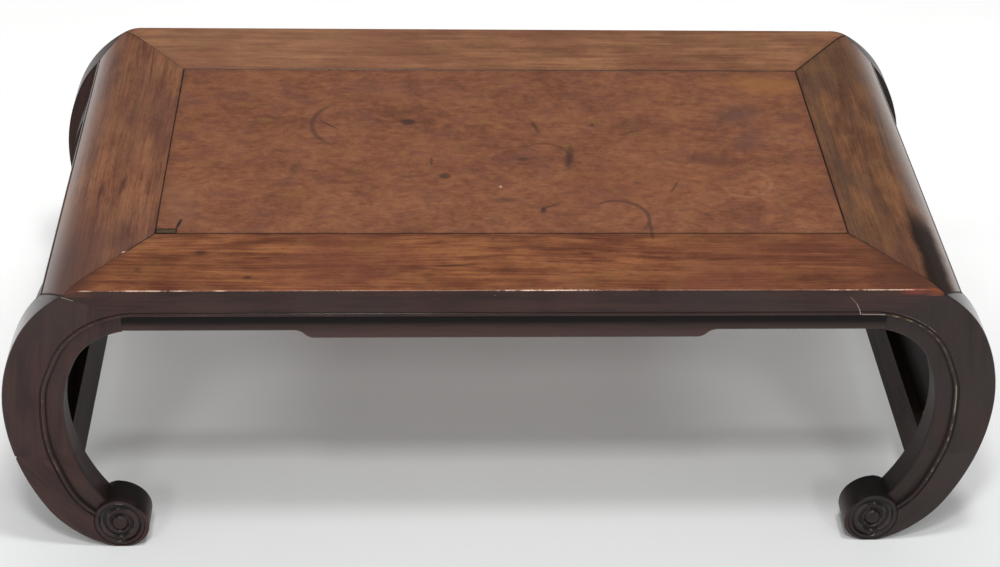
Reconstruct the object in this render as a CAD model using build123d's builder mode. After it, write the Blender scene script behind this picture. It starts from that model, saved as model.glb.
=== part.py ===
from build123d import *
from math import asin, atan2, cos, degrees, radians, sin, sqrt
import os

# A low table on four inward-curling legs. The ends of its mitred top frame roll
# over into the legs, and each end is closed by a curved, sunk panel.
# Millimetres. +X runs along the table, -Y is the front, Z = 0 is the floor and the
# origin is at the middle of the footprint.

# ---- overall sizes
table_length = 921.0
table_depth = 474.0
table_height = 309.0

# ---- outline of an end, seen from the front: tangent arcs from the top to the floor
widest_height = 165.0
shoulder_radius = 122.8
shoulder_rise = 11.2  # how far above the top the shoulder's own arc would peak
eased_radius = 33.5  # eases the flat top into the shoulder
flank_turn = 26.4  # degrees above level where the shoulder meets the flank
shin_turn = 27.0  # degrees below level where the shin meets the heel
heel_turn = 67.8  # degrees below level where the heel meets the scroll
heel_radius = 105.0
scroll_radius = 35.0
toe_radius = 28.0
brow_radius = 31.5
brow_turn = 50.0  # degrees above level where the scroll tucks under the leg
sole_wear = 0.7  # depth of the flat worn under each scroll

# ---- legs
leg_thickness = 31.0
leg_width = 54.3  # at the widest point
band_width = 38.5  # proud outer band, as deep as the top frame where it turns flat
strip_recess = 5.0  # of the inner strip and the aprons behind the band
hollow_drop = 8.0  # the hollow is widest this far below the outside
hollow_shoulder_radius = 64.0
hollow_shin_radius = 192.0
hollow_turn = 42.0
wedge_run = 47.5  # how far the leg's mitre runs along the long rail
scarf_outer_turn = 11.0
scarf_inner_turn = 16.0
key_width = 18.0
key_thickness = 8.0
key_length = 40.0

# ---- top frame and panel
long_rail_width = 88.0
end_rail_reach = 140.5  # from the panel's edge to the widest point of the end
mitre_setback = 68.5  # of the mitre's outer corner from the widest point
mitre_nib = 1.0  # wood that joins the leg's two halves of the mitre at its tip
panel_thickness = 12.0
panel_tongue_length = 7.0
panel_tongue_thickness = 6.0
patch_length = 19.6
patch_width = 8.0
patch_depth = 3.0
arris_radius = 1.2

# ---- joints of the top frame
fit = 0.2  # clearance round tongues, tenons and keys
post_tenon_length = 14.0  # of the leg into the long rail
post_tenon_width = 12.0
post_tenon_height = 16.0
post_tenon_inset = 5.5
lip_tenon_length = 16.0  # of the leg into the end rail
lip_tenon_width = 10.0
lip_tenon_height = 10.0
lip_tenon_inset = 4.0
frame_tenon_width = 20.0
frame_tenon_thickness = 9.0
frame_tenon_rise = 6.0
frame_tenon_setback = 38.0
frame_tenon_inset = 10.0
pin_radius = 3.0
pin_overrun = 2.0

# ---- battens under the panel
batten_width = 30.0
batten_depth = 14.0
batten_spacing = 200.0
batten_tenon = 10.0
dovetail_depth = 4.0
dovetail_flare = 2.0

# ---- aprons
apron_thickness = 14.0
apron_flank = 22.2  # below the frame
apron_drop = 8.6  # of the middle, below the flanks
apron_drop_length = 346.0
ogee_length = 19.0
apron_tongue_thickness = 6.0
apron_tongue_length = 4.0
apron_round = 3.0

# ---- closed ends
end_recess = 11.0
end_thickness = 10.0
end_sink = 3.0  # of the panel behind its stiles and apron
end_apron_flank = 19.7
stile_width = 60.0
seam_inset = 5.0  # of the ends' own tongues, behind the stiles' face
seam_thickness = 3.0
seam_length = 5.0
base_rail_turn = 19.8  # degrees below level of the base rail's top
base_rail_thickness = 22.0
base_tenon_thickness = 10.0
base_tenon_length = 12.0
base_tenon_shoulder = 1.2  # degrees

# ---- worked out from the above
half_length = table_length / 2
half_depth = table_depth / 2
half_panel_length = half_length - end_rail_reach
half_panel_width = half_depth - long_rail_width
inner_face = half_depth - leg_thickness  # inner side of the legs, from the middle
mitre_x = half_length - mitre_setback
leg_end = mitre_x - wedge_run
panel_bottom = table_height - panel_thickness
outside = half_length + leg_thickness  # clear of everything


def along(centre, radius, turn):
    """Point at a distance and at an angle, in degrees above level, from a centre."""
    return centre[0] + radius * cos(radians(turn)), centre[1] + radius * sin(radians(turn))


flank_sine = sin(radians(flank_turn))
shin_sine = sin(radians(shin_turn))
heel_sine = sin(radians(heel_turn))
upper_rise = table_height + shoulder_rise - widest_height
flank_radius = (upper_rise - shoulder_radius * (1 - flank_sine)) / flank_sine
flank_centre = (half_length - flank_radius, widest_height)
shoulder_centre = along(flank_centre, flank_radius - shoulder_radius, flank_turn)
eased_rise = table_height - eased_radius - shoulder_centre[1]
eased_reach = sqrt((shoulder_radius - eased_radius) ** 2 - eased_rise**2)
eased_centre = (shoulder_centre[0] + eased_reach, table_height - eased_radius)
eased_turn = degrees(atan2(eased_rise, eased_reach))

lower_fall = widest_height + sole_wear - scroll_radius * (1 - heel_sine)
shin_radius = (lower_fall - heel_radius * (heel_sine - shin_sine)) / shin_sine
shin_centre = (half_length - shin_radius, widest_height)
heel_centre = along(shin_centre, shin_radius - heel_radius, -shin_turn)
scroll_centre = along(heel_centre, heel_radius - scroll_radius, -heel_turn)

rail_bottom = shoulder_centre[1] + shoulder_radius - band_width
rail_thickness = table_height - rail_bottom
apron_bottom = rail_bottom - apron_flank
end_apron_bottom = rail_bottom - end_apron_flank

hollow_widest = widest_height - hollow_drop
hollow_reach = half_length - leg_width
hollow_rise = apron_bottom - hollow_widest
hollow_flank_radius = (hollow_rise - hollow_shoulder_radius * (1 - flank_sine)) / flank_sine
hollow_flank_centre = (hollow_reach - hollow_flank_radius, hollow_widest)
hollow_shoulder_centre = along(
    hollow_flank_centre, hollow_flank_radius - hollow_shoulder_radius, flank_turn
)
hollow_shin_centre = (hollow_reach - hollow_shin_radius, hollow_widest)


def shoulder_x(inset, height):
    """How far out the shoulder is at a height, on the outline set in by an inset."""
    rise = height - shoulder_centre[1]
    return shoulder_centre[0] + sqrt((shoulder_radius - inset) ** 2 - rise**2)


lip_x = shoulder_x(0, rail_bottom)
lip_turn = degrees(asin((rail_bottom - shoulder_centre[1]) / shoulder_radius))
mitre_rise = sqrt(shoulder_radius**2 - (mitre_x - shoulder_centre[0]) ** 2)
mitre_height = shoulder_centre[1] + mitre_rise

# tenons of a leg: where they stand on the underside of the rails
post_place = (
    leg_end + post_tenon_inset + post_tenon_length / 2,
    -half_depth + leg_thickness / 2,
    rail_bottom,
)
lip_place = (
    mitre_x - lip_tenon_length / 4,
    -inner_face - lip_tenon_inset - lip_tenon_width / 2,
    rail_bottom,
)

# tenons of an end rail into the long rails
tenon_x = half_panel_length + frame_tenon_inset + frame_tenon_width / 2
tenon_end = half_depth - frame_tenon_setback
tenon_reach = tenon_end - half_panel_width
tenon_bottom = rail_bottom + frame_tenon_rise
pin_y = tenon_end - frame_tenon_width / 2
pin_height = frame_tenon_rise + frame_tenon_thickness + pin_overrun

# layers of an end, as insets from the outline, outer then inner
board = (end_recess, end_recess + end_thickness)
sunk_board = (end_recess + end_sink, end_recess + end_thickness)
drop_skin = (end_recess, end_recess + end_sink - fit)
seam = (end_recess + seam_inset, end_recess + seam_inset + seam_thickness)
seam_groove = (seam[0] - fit, seam[1] + fit)
base_rail = (end_recess, end_recess + base_rail_thickness)
base_shoulder = (base_rail_thickness - base_tenon_thickness) / 2
base_tenon = (base_rail[0] + base_shoulder, base_rail[1] - base_shoulder)
base_mortise = (base_tenon[0] - fit, base_tenon[1] + fit)
fit_turn = degrees(fit / shin_radius)
seam_turn = degrees(seam_length / shin_radius)
tenon_first = -base_rail_turn - base_tenon_shoulder
tenon_last = -shin_turn + base_tenon_shoulder
field_half = inner_face - stile_width

stand = (Align.CENTER, Align.CENTER, Align.MIN)  # a box stands on its place
front_plan = [
    (-mitre_x, -half_depth),
    (mitre_x, -half_depth),
    (half_panel_length, -half_panel_width),
    (-half_panel_length, -half_panel_width),
]
end_plan = [
    (mitre_x, -half_depth),
    (outside, -half_depth),
    (outside, half_depth),
    (mitre_x, half_depth),
    (half_panel_length, half_panel_width),
    (half_panel_length, -half_panel_width),
]


def outline(inset, first=90.0, last=-90.0):
    """Draw the outline of an end, set in by an inset, from one turn down to another."""
    arcs = [
        (shoulder_centre, shoulder_radius, 90.0, flank_turn),
        (flank_centre, flank_radius, flank_turn, 0.0),
        (shin_centre, shin_radius, 0.0, -shin_turn),
        (heel_centre, heel_radius, -shin_turn, -heel_turn),
        (scroll_centre, scroll_radius, -heel_turn, -90.0),
    ]
    if inset == 0:
        arcs[:1] = [
            (eased_centre, eased_radius, 90.0, eased_turn),
            (shoulder_centre, shoulder_radius, eased_turn, flank_turn),
        ]
    drawn = []
    for centre, radius, high, low in arcs:
        start, stop = min(high, first), max(low, last)
        if start > stop:
            drawn.append(CenterArc(centre, radius - inset, start, stop - start))
    return drawn[0] @ 0, drawn[-1] @ 1


def ring(insets, first=90.0, last=-90.0):
    """Draw the closed strip between two insets of the outline."""
    outer_start, outer_end = outline(insets[0], first, last)
    inner_start, inner_end = outline(insets[1], first, last)
    Line(outer_start, inner_start)
    Line(outer_end, inner_end)


def keep_between(bottom, top):
    """Keep only what the open sketch has between two heights."""
    with Locations((0, (bottom + top) / 2)):
        Rectangle(2 * outside, top - bottom, mode=Mode.INTERSECT)


def leg_side():
    """Draw the closed outer side of a leg, with the corner inside it still solid."""
    start, end = outline(0)
    waist = (scroll_centre[0], widest_height)
    Polyline(start, (leg_end, table_height), (leg_end, widest_height), waist, end)


def drop_edge(half_run, flank_height):
    """Draw an apron's dropped middle and one ogee step, from the middle outwards."""
    turn = degrees(2 * atan2(apron_drop, ogee_length))
    radius = ogee_length / 2 / sin(radians(turn))
    flat = Line((0, flank_height - apron_drop), (half_run, flank_height - apron_drop))
    lower = JernArc(flat @ 1, (1, 0), radius, turn)
    upper = JernArc(lower @ 1, lower % 1, radius, -turn)
    return flat @ 0, upper @ 1


# ---- solids that are cut from, or joined to, more than one piece
with BuildPart() as frame_stock:
    with BuildSketch(Plane.XZ.offset(half_depth)):
        with BuildLine():
            start, end = outline(0, last=lip_turn)
            Polyline(end, (0, rail_bottom), (0, table_height), start)
        make_face()
        mirror(about=Plane.YZ)
    extrude(amount=-table_depth)

with BuildPart() as front_wedge:
    with BuildSketch(Plane.XZ.offset(half_depth)):
        with BuildLine():
            Polyline(
                (leg_end, rail_bottom),
                (mitre_x, mitre_height),
                (mitre_x, rail_bottom),
                close=True,
            )
        make_face()
    extrude(amount=-leg_thickness)
    with BuildSketch(Plane.XY.offset(rail_bottom)):
        with BuildLine():
            Polyline(*front_plan, close=True)
        make_face()
    extrude(amount=rail_thickness, mode=Mode.INTERSECT)

with BuildPart() as outer_wedge:
    with BuildSketch(Plane.XY.offset(rail_bottom)):
        with BuildLine():
            Polyline(
                (mitre_x - mitre_nib, -half_depth),
                (lip_x, -inner_face),
                (outside, -inner_face),
                (outside, -half_depth),
                close=True,
            )
        make_face()
    extrude(amount=rail_thickness)

with BuildPart() as leg_tenons:
    with Locations(post_place):
        Box(post_tenon_length, post_tenon_width, post_tenon_height, align=stand)
    with Locations(lip_place):
        Box(lip_tenon_length, lip_tenon_width, lip_tenon_height, align=stand)

with BuildPart() as leg_mortises:
    with Locations(post_place):
        Box(
            post_tenon_length + 2 * fit,
            post_tenon_width + 2 * fit,
            post_tenon_height + fit,
            align=stand,
        )
    with Locations(lip_place):
        Box(
            lip_tenon_length + 2 * fit,
            lip_tenon_width + 2 * fit,
            lip_tenon_height + fit,
            align=stand,
        )

with BuildPart() as panel_groove:
    with Locations((0, 0, panel_bottom)):
        Box(
            2 * (half_panel_length + panel_tongue_length + fit),
            2 * (half_panel_width + panel_tongue_length + fit),
            panel_tongue_thickness + fit,
            align=stand,
        )

with BuildPart() as batten_slot:
    with BuildSketch(Plane.XZ.offset(half_panel_width + panel_tongue_length)):
        with BuildLine():
            Polyline(
                (dovetail_flare - batten_width / 2, panel_bottom),
                (batten_width / 2 - dovetail_flare, panel_bottom),
                (batten_width / 2, panel_bottom + dovetail_depth),
                (-batten_width / 2, panel_bottom + dovetail_depth),
                close=True,
            )
        make_face()
    extrude(amount=-2 * (half_panel_width + panel_tongue_length))

# ---- a whole leg, front right, from the mitre to the scroll
with BuildPart() as leg_stock:
    with BuildSketch(Plane.XZ.offset(half_depth - strip_recess)):
        with BuildLine():
            leg_side()
        make_face()
        with BuildLine():
            shoulder = CenterArc(hollow_shoulder_centre, hollow_shoulder_radius, 90, flank_turn - 90)
            CenterArc(hollow_flank_centre, hollow_flank_radius, flank_turn, -flank_turn)
            ankle = CenterArc(hollow_shin_centre, hollow_shin_radius, 0, -hollow_turn)
            Polyline(ankle @ 1, (0, (ankle @ 1).Y), (0, apron_bottom), shoulder @ 0)
        make_face(mode=Mode.SUBTRACT)
    extrude(amount=strip_recess - leg_thickness)
    with BuildSketch(Plane.XZ.offset(half_depth)):
        with BuildLine():
            leg_side()
        make_face()
        with BuildLine():
            start, end = outline(band_width, last=-heel_turn)
            Polyline(end, (0, end.Y), (0, start.Y), start)
        make_face(mode=Mode.SUBTRACT)
        with BuildLine():
            sole = (scroll_centre[0], scroll_centre[1] - scroll_radius)
            toe = CenterArc((sole[0], sole[1] + toe_radius), toe_radius, -90, -90)
            brow_centre = ((toe @ 1).X + brow_radius, (toe @ 1).Y)
            brow = CenterArc(brow_centre, brow_radius, 180, brow_turn - 180)
            Line(brow @ 1, toe @ 0)
        make_face()
    extrude(amount=-leg_thickness)
    split(bisect_by=Plane.XY, keep=Keep.TOP)

with BuildPart() as upper_corner:
    add(leg_stock.part)
    add(outer_wedge.part, mode=Mode.INTERSECT)

scarf_outer = along(shin_centre, shin_radius, -scarf_outer_turn)
scarf_inner = along(shin_centre, shin_radius - leg_width, -scarf_inner_turn)
scarf_run = Vector(scarf_outer[0] - scarf_inner[0], 0, scarf_outer[1] - scarf_inner[1])
scarf_middle = Vector(
    (scarf_outer[0] + scarf_inner[0]) / 2,
    -inner_face - (leg_thickness - strip_recess) / 2,
    (scarf_outer[1] + scarf_inner[1]) / 2,
)
scarf = Plane(origin=scarf_middle, x_dir=scarf_run, z_dir=(-scarf_run.Z, 0, scarf_run.X))

with BuildPart() as whole_leg:
    add(leg_stock.part)
    # the rails take all above their underside, and the leg keeps its two wedges
    split(bisect_by=Plane.XY.offset(rail_bottom), keep=Keep.BOTTOM)
    add(upper_corner.part)
    add(front_wedge.part)
    add(leg_tenons.part)
    # groove for the tongues of the end
    with BuildSketch(Plane.XZ.offset(inner_face)):
        with BuildLine():
            ring(seam_groove, last=-base_rail_turn)
        make_face()
        keep_between(0, rail_bottom)
    extrude(amount=seam_length + fit, mode=Mode.SUBTRACT)
    # mortise for the base rail
    with BuildSketch(Plane.XZ.offset(inner_face)):
        with BuildLine():
            ring(base_mortise, tenon_first + fit_turn, tenon_last - fit_turn)
        make_face()
    extrude(amount=base_tenon_length + fit, mode=Mode.SUBTRACT)
    # slot for the scarf's key
    with BuildSketch(scarf):
        Rectangle(key_width + 2 * fit, key_thickness + 2 * fit)
    extrude(amount=key_length / 2 + fit, both=True, mode=Mode.SUBTRACT)

with BuildPart() as front_right_leg:
    add(whole_leg.part)
    split(bisect_by=scarf, keep=Keep.TOP)

with BuildPart() as front_right_foot:
    add(whole_leg.part)
    split(bisect_by=scarf, keep=Keep.BOTTOM)

with BuildPart() as scarf_keys:
    with BuildSketch(scarf):
        Rectangle(key_width, key_thickness)
    extrude(amount=key_length / 2, both=True)
    mirror(about=Plane.XZ)
    mirror(about=Plane.YZ)

# ---- top frame
with BuildPart() as frame_pins:
    with Locations((0, 0, rail_bottom)):
        with GridLocations(2 * tenon_x, 2 * pin_y, 2, 2):
            Cylinder(pin_radius, pin_height, align=stand)

with BuildPart() as front_rail:
    with BuildSketch(Plane.XY.offset(rail_bottom)):
        with BuildLine():
            Polyline(*front_plan, close=True)
        make_face()
    extrude(amount=rail_thickness)
    add(frame_stock.part, mode=Mode.INTERSECT)
    face_edges = front_rail.edges().filter_by_position(Axis.Y, -half_depth, -half_depth)
    fillet(face_edges.filter_by(lambda edge: edge.center().Z > mitre_height), arris_radius)
    for cut in (front_wedge.part, outer_wedge.part, leg_mortises.part):
        add(cut, mode=Mode.SUBTRACT)
        add(cut.mirror(Plane.YZ), mode=Mode.SUBTRACT)
    add(panel_groove.part, mode=Mode.SUBTRACT)
    add(frame_pins.part, mode=Mode.SUBTRACT)
    for side in (-1, 1):
        with Locations((side * tenon_x, -tenon_end - fit, tenon_bottom)):
            Box(
                frame_tenon_width + 2 * fit,
                tenon_reach + fit,
                frame_tenon_thickness + fit,
                align=(Align.CENTER, Align.MIN, Align.MIN),
                mode=Mode.SUBTRACT,
            )
    # groove for the apron's tongue
    with Locations((0, -half_depth + strip_recess + apron_thickness / 2, rail_bottom)):
        Box(
            2 * leg_end,
            apron_tongue_thickness + 2 * fit,
            apron_tongue_length + fit,
            align=stand,
            mode=Mode.SUBTRACT,
        )
    # mortises for the battens
    with Locations((0, -half_panel_width, panel_bottom - batten_depth)):
        with GridLocations(batten_spacing, 1, 3, 1):
            Box(
                batten_width,
                2 * (batten_tenon + fit),
                batten_depth,
                align=stand,
                mode=Mode.SUBTRACT,
            )

end_tongue_x = (shoulder_x(board[0], rail_bottom) + shoulder_x(board[1], rail_bottom)) / 2

with BuildPart() as right_end_rail:
    with BuildSketch(Plane.XY.offset(rail_bottom)):
        with BuildLine():
            Polyline(*end_plan, close=True)
        make_face()
    extrude(amount=rail_thickness)
    add(frame_stock.part, mode=Mode.INTERSECT)
    for side in (-1, 1):
        with Locations((tenon_x, side * (half_panel_width + tenon_reach / 2), tenon_bottom)):
            Box(frame_tenon_width, tenon_reach, frame_tenon_thickness, align=stand)
    for cut in (outer_wedge.part, leg_mortises.part):
        add(cut, mode=Mode.SUBTRACT)
        add(cut.mirror(Plane.XZ), mode=Mode.SUBTRACT)
    add(panel_groove.part, mode=Mode.SUBTRACT)
    add(frame_pins.part, mode=Mode.SUBTRACT)
    with Locations((end_tongue_x, 0, rail_bottom)):
        Box(
            apron_tongue_thickness + 2 * fit,
            2 * inner_face,
            apron_tongue_length + fit,
            align=stand,
            mode=Mode.SUBTRACT,
        )

# ---- panel, its let-in patch and its battens
patch_place = (
    patch_length / 2 - half_panel_length,
    patch_width / 2 - half_panel_width,
    table_height - patch_depth,
)

with BuildPart() as top_panel:
    with Locations((0, 0, panel_bottom)):
        Box(
            2 * (half_panel_length - fit),
            2 * (half_panel_width - fit),
            panel_thickness,
            align=stand,
        )
        Box(
            2 * (half_panel_length + panel_tongue_length),
            2 * (half_panel_width + panel_tongue_length),
            panel_tongue_thickness,
            align=stand,
        )
    with GridLocations(batten_spacing, 1, 3, 1):
        add(batten_slot.part, mode=Mode.SUBTRACT)
    with Locations(patch_place):
        Box(patch_length, patch_width, patch_depth, align=stand, mode=Mode.SUBTRACT)

with BuildPart() as panel_patch:
    with Locations(patch_place):
        Box(patch_length - 2 * fit, patch_width - 2 * fit, patch_depth, align=stand)

with BuildPart() as batten_middle:
    with Locations((0, 0, panel_bottom - batten_depth)):
        Box(batten_width, 2 * (half_panel_width + batten_tenon), batten_depth, align=stand)
    add(batten_slot.part)

with BuildPart() as batten_left:
    with Locations((-batten_spacing, 0, 0)):
        add(batten_middle.part)

with BuildPart() as batten_right:
    with Locations((batten_spacing, 0, 0)):
        add(batten_middle.part)

# ---- front apron: level flanks, ogee steps and a dropped middle
with BuildPart() as front_apron:
    with BuildSketch(Plane.XZ.offset(half_depth - strip_recess)):
        with BuildLine():
            middle, flank = drop_edge(apron_drop_length / 2, apron_bottom)
            Polyline(
                flank,
                (leg_end, apron_bottom),
                (leg_end, rail_bottom),
                (0, rail_bottom),
                middle,
            )
        make_face()
        mirror(about=Plane.YZ)
    extrude(amount=-apron_thickness)
    face_edges = front_apron.edges().filter_by_position(
        Axis.Y, strip_recess - half_depth, strip_recess - half_depth
    )
    fillet(face_edges.filter_by(lambda edge: edge.center().Z < apron_bottom + fit), apron_round)
    with Locations((0, -half_depth + strip_recess + apron_thickness / 2, rail_bottom)):
        Box(2 * leg_end, apron_tongue_thickness, apron_tongue_length, align=stand)

# ---- right end: apron, stiles, panel and base rail, all bent to the outline
with BuildPart() as right_end_drop:
    with BuildSketch(Plane.XZ.offset(inner_face)):
        with BuildLine():
            ring(drop_skin, last=0)
        make_face()
    extrude(amount=-2 * inner_face)
    with BuildSketch(Plane.YZ):
        with BuildLine():
            middle, flank = drop_edge(field_half - ogee_length, end_apron_bottom)
            Polyline(flank, (0, end_apron_bottom), middle)
        make_face()
        mirror(about=Plane.YZ)
    extrude(amount=outside, mode=Mode.INTERSECT)

with BuildPart() as right_end_apron:
    with BuildSketch(Plane.XZ.offset(inner_face)):
        with BuildLine():
            ring(board, last=0)
        make_face()
        keep_between(end_apron_bottom, rail_bottom)
    extrude(amount=-2 * inner_face)
    with BuildSketch(Plane.XZ.offset(inner_face + seam_length)):
        with BuildLine():
            ring(seam, last=0)
        make_face()
        keep_between(end_apron_bottom, rail_bottom)
    extrude(amount=-2 * (inner_face + seam_length))
    with BuildSketch(Plane.XZ.offset(inner_face)):
        with BuildLine():
            ring(seam_groove, last=0)
        make_face()
        keep_between(end_apron_bottom, end_apron_bottom + seam_length + fit)
    extrude(amount=-2 * inner_face, mode=Mode.SUBTRACT)
    add(right_end_drop.part)
    with Locations((end_tongue_x, 0, rail_bottom)):
        Box(apron_tongue_thickness, 2 * (inner_face - fit), apron_tongue_length, align=stand)

with BuildPart() as right_front_stile:
    with BuildSketch(Plane.XZ.offset(inner_face)):
        with BuildLine():
            ring(board, last=-base_rail_turn)
        make_face()
        keep_between(0, end_apron_bottom)
    extrude(amount=-stile_width)
    with BuildSketch(Plane.XZ.offset(inner_face)):
        with BuildLine():
            ring(seam, last=-base_rail_turn - seam_turn)
        make_face()
        keep_between(0, end_apron_bottom + seam_length)
    extrude(amount=-stile_width)
    with BuildSketch(Plane.XZ.offset(inner_face + seam_length)):
        with BuildLine():
            ring(seam, last=-base_rail_turn)
        make_face()
        keep_between(0, end_apron_bottom)
    extrude(amount=-seam_length)
    with BuildSketch(Plane.XZ.offset(field_half)):
        with BuildLine():
            ring(seam_groove)
        make_face()
    extrude(amount=seam_length + fit, mode=Mode.SUBTRACT)

with BuildPart() as right_end_panel:
    with BuildSketch(Plane.XZ.offset(field_half)):
        with BuildLine():
            ring(sunk_board, last=-base_rail_turn)
        make_face()
        keep_between(0, end_apron_bottom)
    extrude(amount=-2 * field_half)
    with BuildSketch(Plane.XZ.offset(field_half + seam_length)):
        with BuildLine():
            ring(seam, last=-base_rail_turn - seam_turn)
        make_face()
        keep_between(0, end_apron_bottom + seam_length)
    extrude(amount=-2 * (field_half + seam_length))

with BuildPart() as right_base_rail:
    with BuildSketch(Plane.XZ.offset(inner_face)):
        with BuildLine():
            ring(base_rail, -base_rail_turn, -shin_turn)
        make_face()
    extrude(amount=-2 * inner_face)
    with BuildSketch(Plane.XZ.offset(inner_face + base_tenon_length)):
        with BuildLine():
            ring(base_tenon, tenon_first, tenon_last)
        make_face()
    extrude(amount=-2 * (inner_face + base_tenon_length))
    with BuildSketch(Plane.XZ.offset(inner_face)):
        with BuildLine():
            ring(seam_groove, -base_rail_turn, -base_rail_turn - seam_turn - fit_turn)
        make_face()
    extrude(amount=-2 * inner_face, mode=Mode.SUBTRACT)

# ---- the table is the same at both ends, and at the front and the rear
pieces = {
    "front_rail": front_rail,
    "right_end_rail": right_end_rail,
    "top_panel": top_panel,
    "panel_patch": panel_patch,
    "batten_left": batten_left,
    "batten_middle": batten_middle,
    "batten_right": batten_right,
    "front_apron": front_apron,
    "right_end_apron": right_end_apron,
    "front_right_leg": front_right_leg,
    "front_right_foot": front_right_foot,
    "scarf_keys": scarf_keys,
    "right_front_stile": right_front_stile,
    "right_end_panel": right_end_panel,
    "right_base_rail": right_base_rail,
    "frame_pins": frame_pins,
}
for about, here, there in ((Plane.XZ, "front", "rear"), (Plane.YZ, "right", "left")):
    for name, piece in list(pieces.items()):
        if here in name and not name.startswith("batten"):
            with BuildPart() as twin:
                mirror(piece.part, about=about)
            pieces[name.replace(here, there)] = twin

os.makedirs("parts", exist_ok=True)
for name, piece in pieces.items():
    piece.part.label = name
    export_step(piece.part, f"parts/{name}.step")
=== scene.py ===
from math import asin, atan2, cos, degrees, hypot, pi, radians, sin

import bmesh
import bpy
import numpy as np
from mathutils import Matrix, Vector


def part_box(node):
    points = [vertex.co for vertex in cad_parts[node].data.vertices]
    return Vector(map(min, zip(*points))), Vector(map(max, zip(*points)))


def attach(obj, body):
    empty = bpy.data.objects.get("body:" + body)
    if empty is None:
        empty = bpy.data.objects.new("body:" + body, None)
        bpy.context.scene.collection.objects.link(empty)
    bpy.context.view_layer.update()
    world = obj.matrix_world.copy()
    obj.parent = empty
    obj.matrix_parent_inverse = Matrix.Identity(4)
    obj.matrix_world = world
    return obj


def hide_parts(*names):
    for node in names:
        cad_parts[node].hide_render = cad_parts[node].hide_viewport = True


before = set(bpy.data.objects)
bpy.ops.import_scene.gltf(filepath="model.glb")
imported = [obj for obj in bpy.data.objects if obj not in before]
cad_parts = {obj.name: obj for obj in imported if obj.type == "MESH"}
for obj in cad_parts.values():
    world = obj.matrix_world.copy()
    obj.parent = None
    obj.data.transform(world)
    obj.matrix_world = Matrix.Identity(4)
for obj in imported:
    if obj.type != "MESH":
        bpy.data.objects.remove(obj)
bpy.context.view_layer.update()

MM = 0.001


# ---- nodes ------------------------------------------------------------------------
class Value:
    """A node's output, which takes part in Python expressions."""

    def __init__(self, bench, socket):
        self.bench, self.socket = bench, socket

    def _math(self, operation, *terms, clamp=False):
        return self.bench.add(
            "ShaderNodeMath",
            {"operation": operation, "use_clamp": clamp},
            dict(enumerate(terms)),
        )

    def __add__(self, other):
        return self._math("ADD", self, other)

    def __radd__(self, other):
        return self._math("ADD", other, self)

    def __sub__(self, other):
        return self._math("SUBTRACT", self, other)

    def __rsub__(self, other):
        return self._math("SUBTRACT", other, self)

    def __mul__(self, other):
        return self._math("MULTIPLY", self, other)

    def __rmul__(self, other):
        return self._math("MULTIPLY", other, self)

    def __truediv__(self, other):
        return self._math("DIVIDE", self, other)

    def __rtruediv__(self, other):
        return self._math("DIVIDE", other, self)

    def __neg__(self):
        return self._math("MULTIPLY", self, -1.0)

    def __abs__(self):
        return self._math("ABSOLUTE", self)

    def __lt__(self, other):
        return self._math("LESS_THAN", self, other)

    def __gt__(self, other):
        return self._math("GREATER_THAN", self, other)

    def sine(self):
        return self._math("SINE", self)

    def cosine(self):
        return self._math("COSINE", self)

    def root(self):
        return self._math("SQRT", self)

    def log(self, base):
        return self._math("LOGARITHM", self, base)

    def fraction(self):
        return self._math("FRACT", self)

    def lower(self, other):
        return self._math("MINIMUM", self, other)

    def higher(self, other):
        return self._math("MAXIMUM", self, other)

    def clamped(self):
        return self._math("ADD", self, 0.0, clamp=True)

    def between(self, start, stop):
        """0 at start and before it, 1 at stop and after it, smooth between."""
        return self.bench.add(
            "ShaderNodeMapRange",
            {"interpolation_type": "SMOOTHSTEP"},
            {"Value": self, "From Min": start, "From Max": stop},
        )


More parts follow.
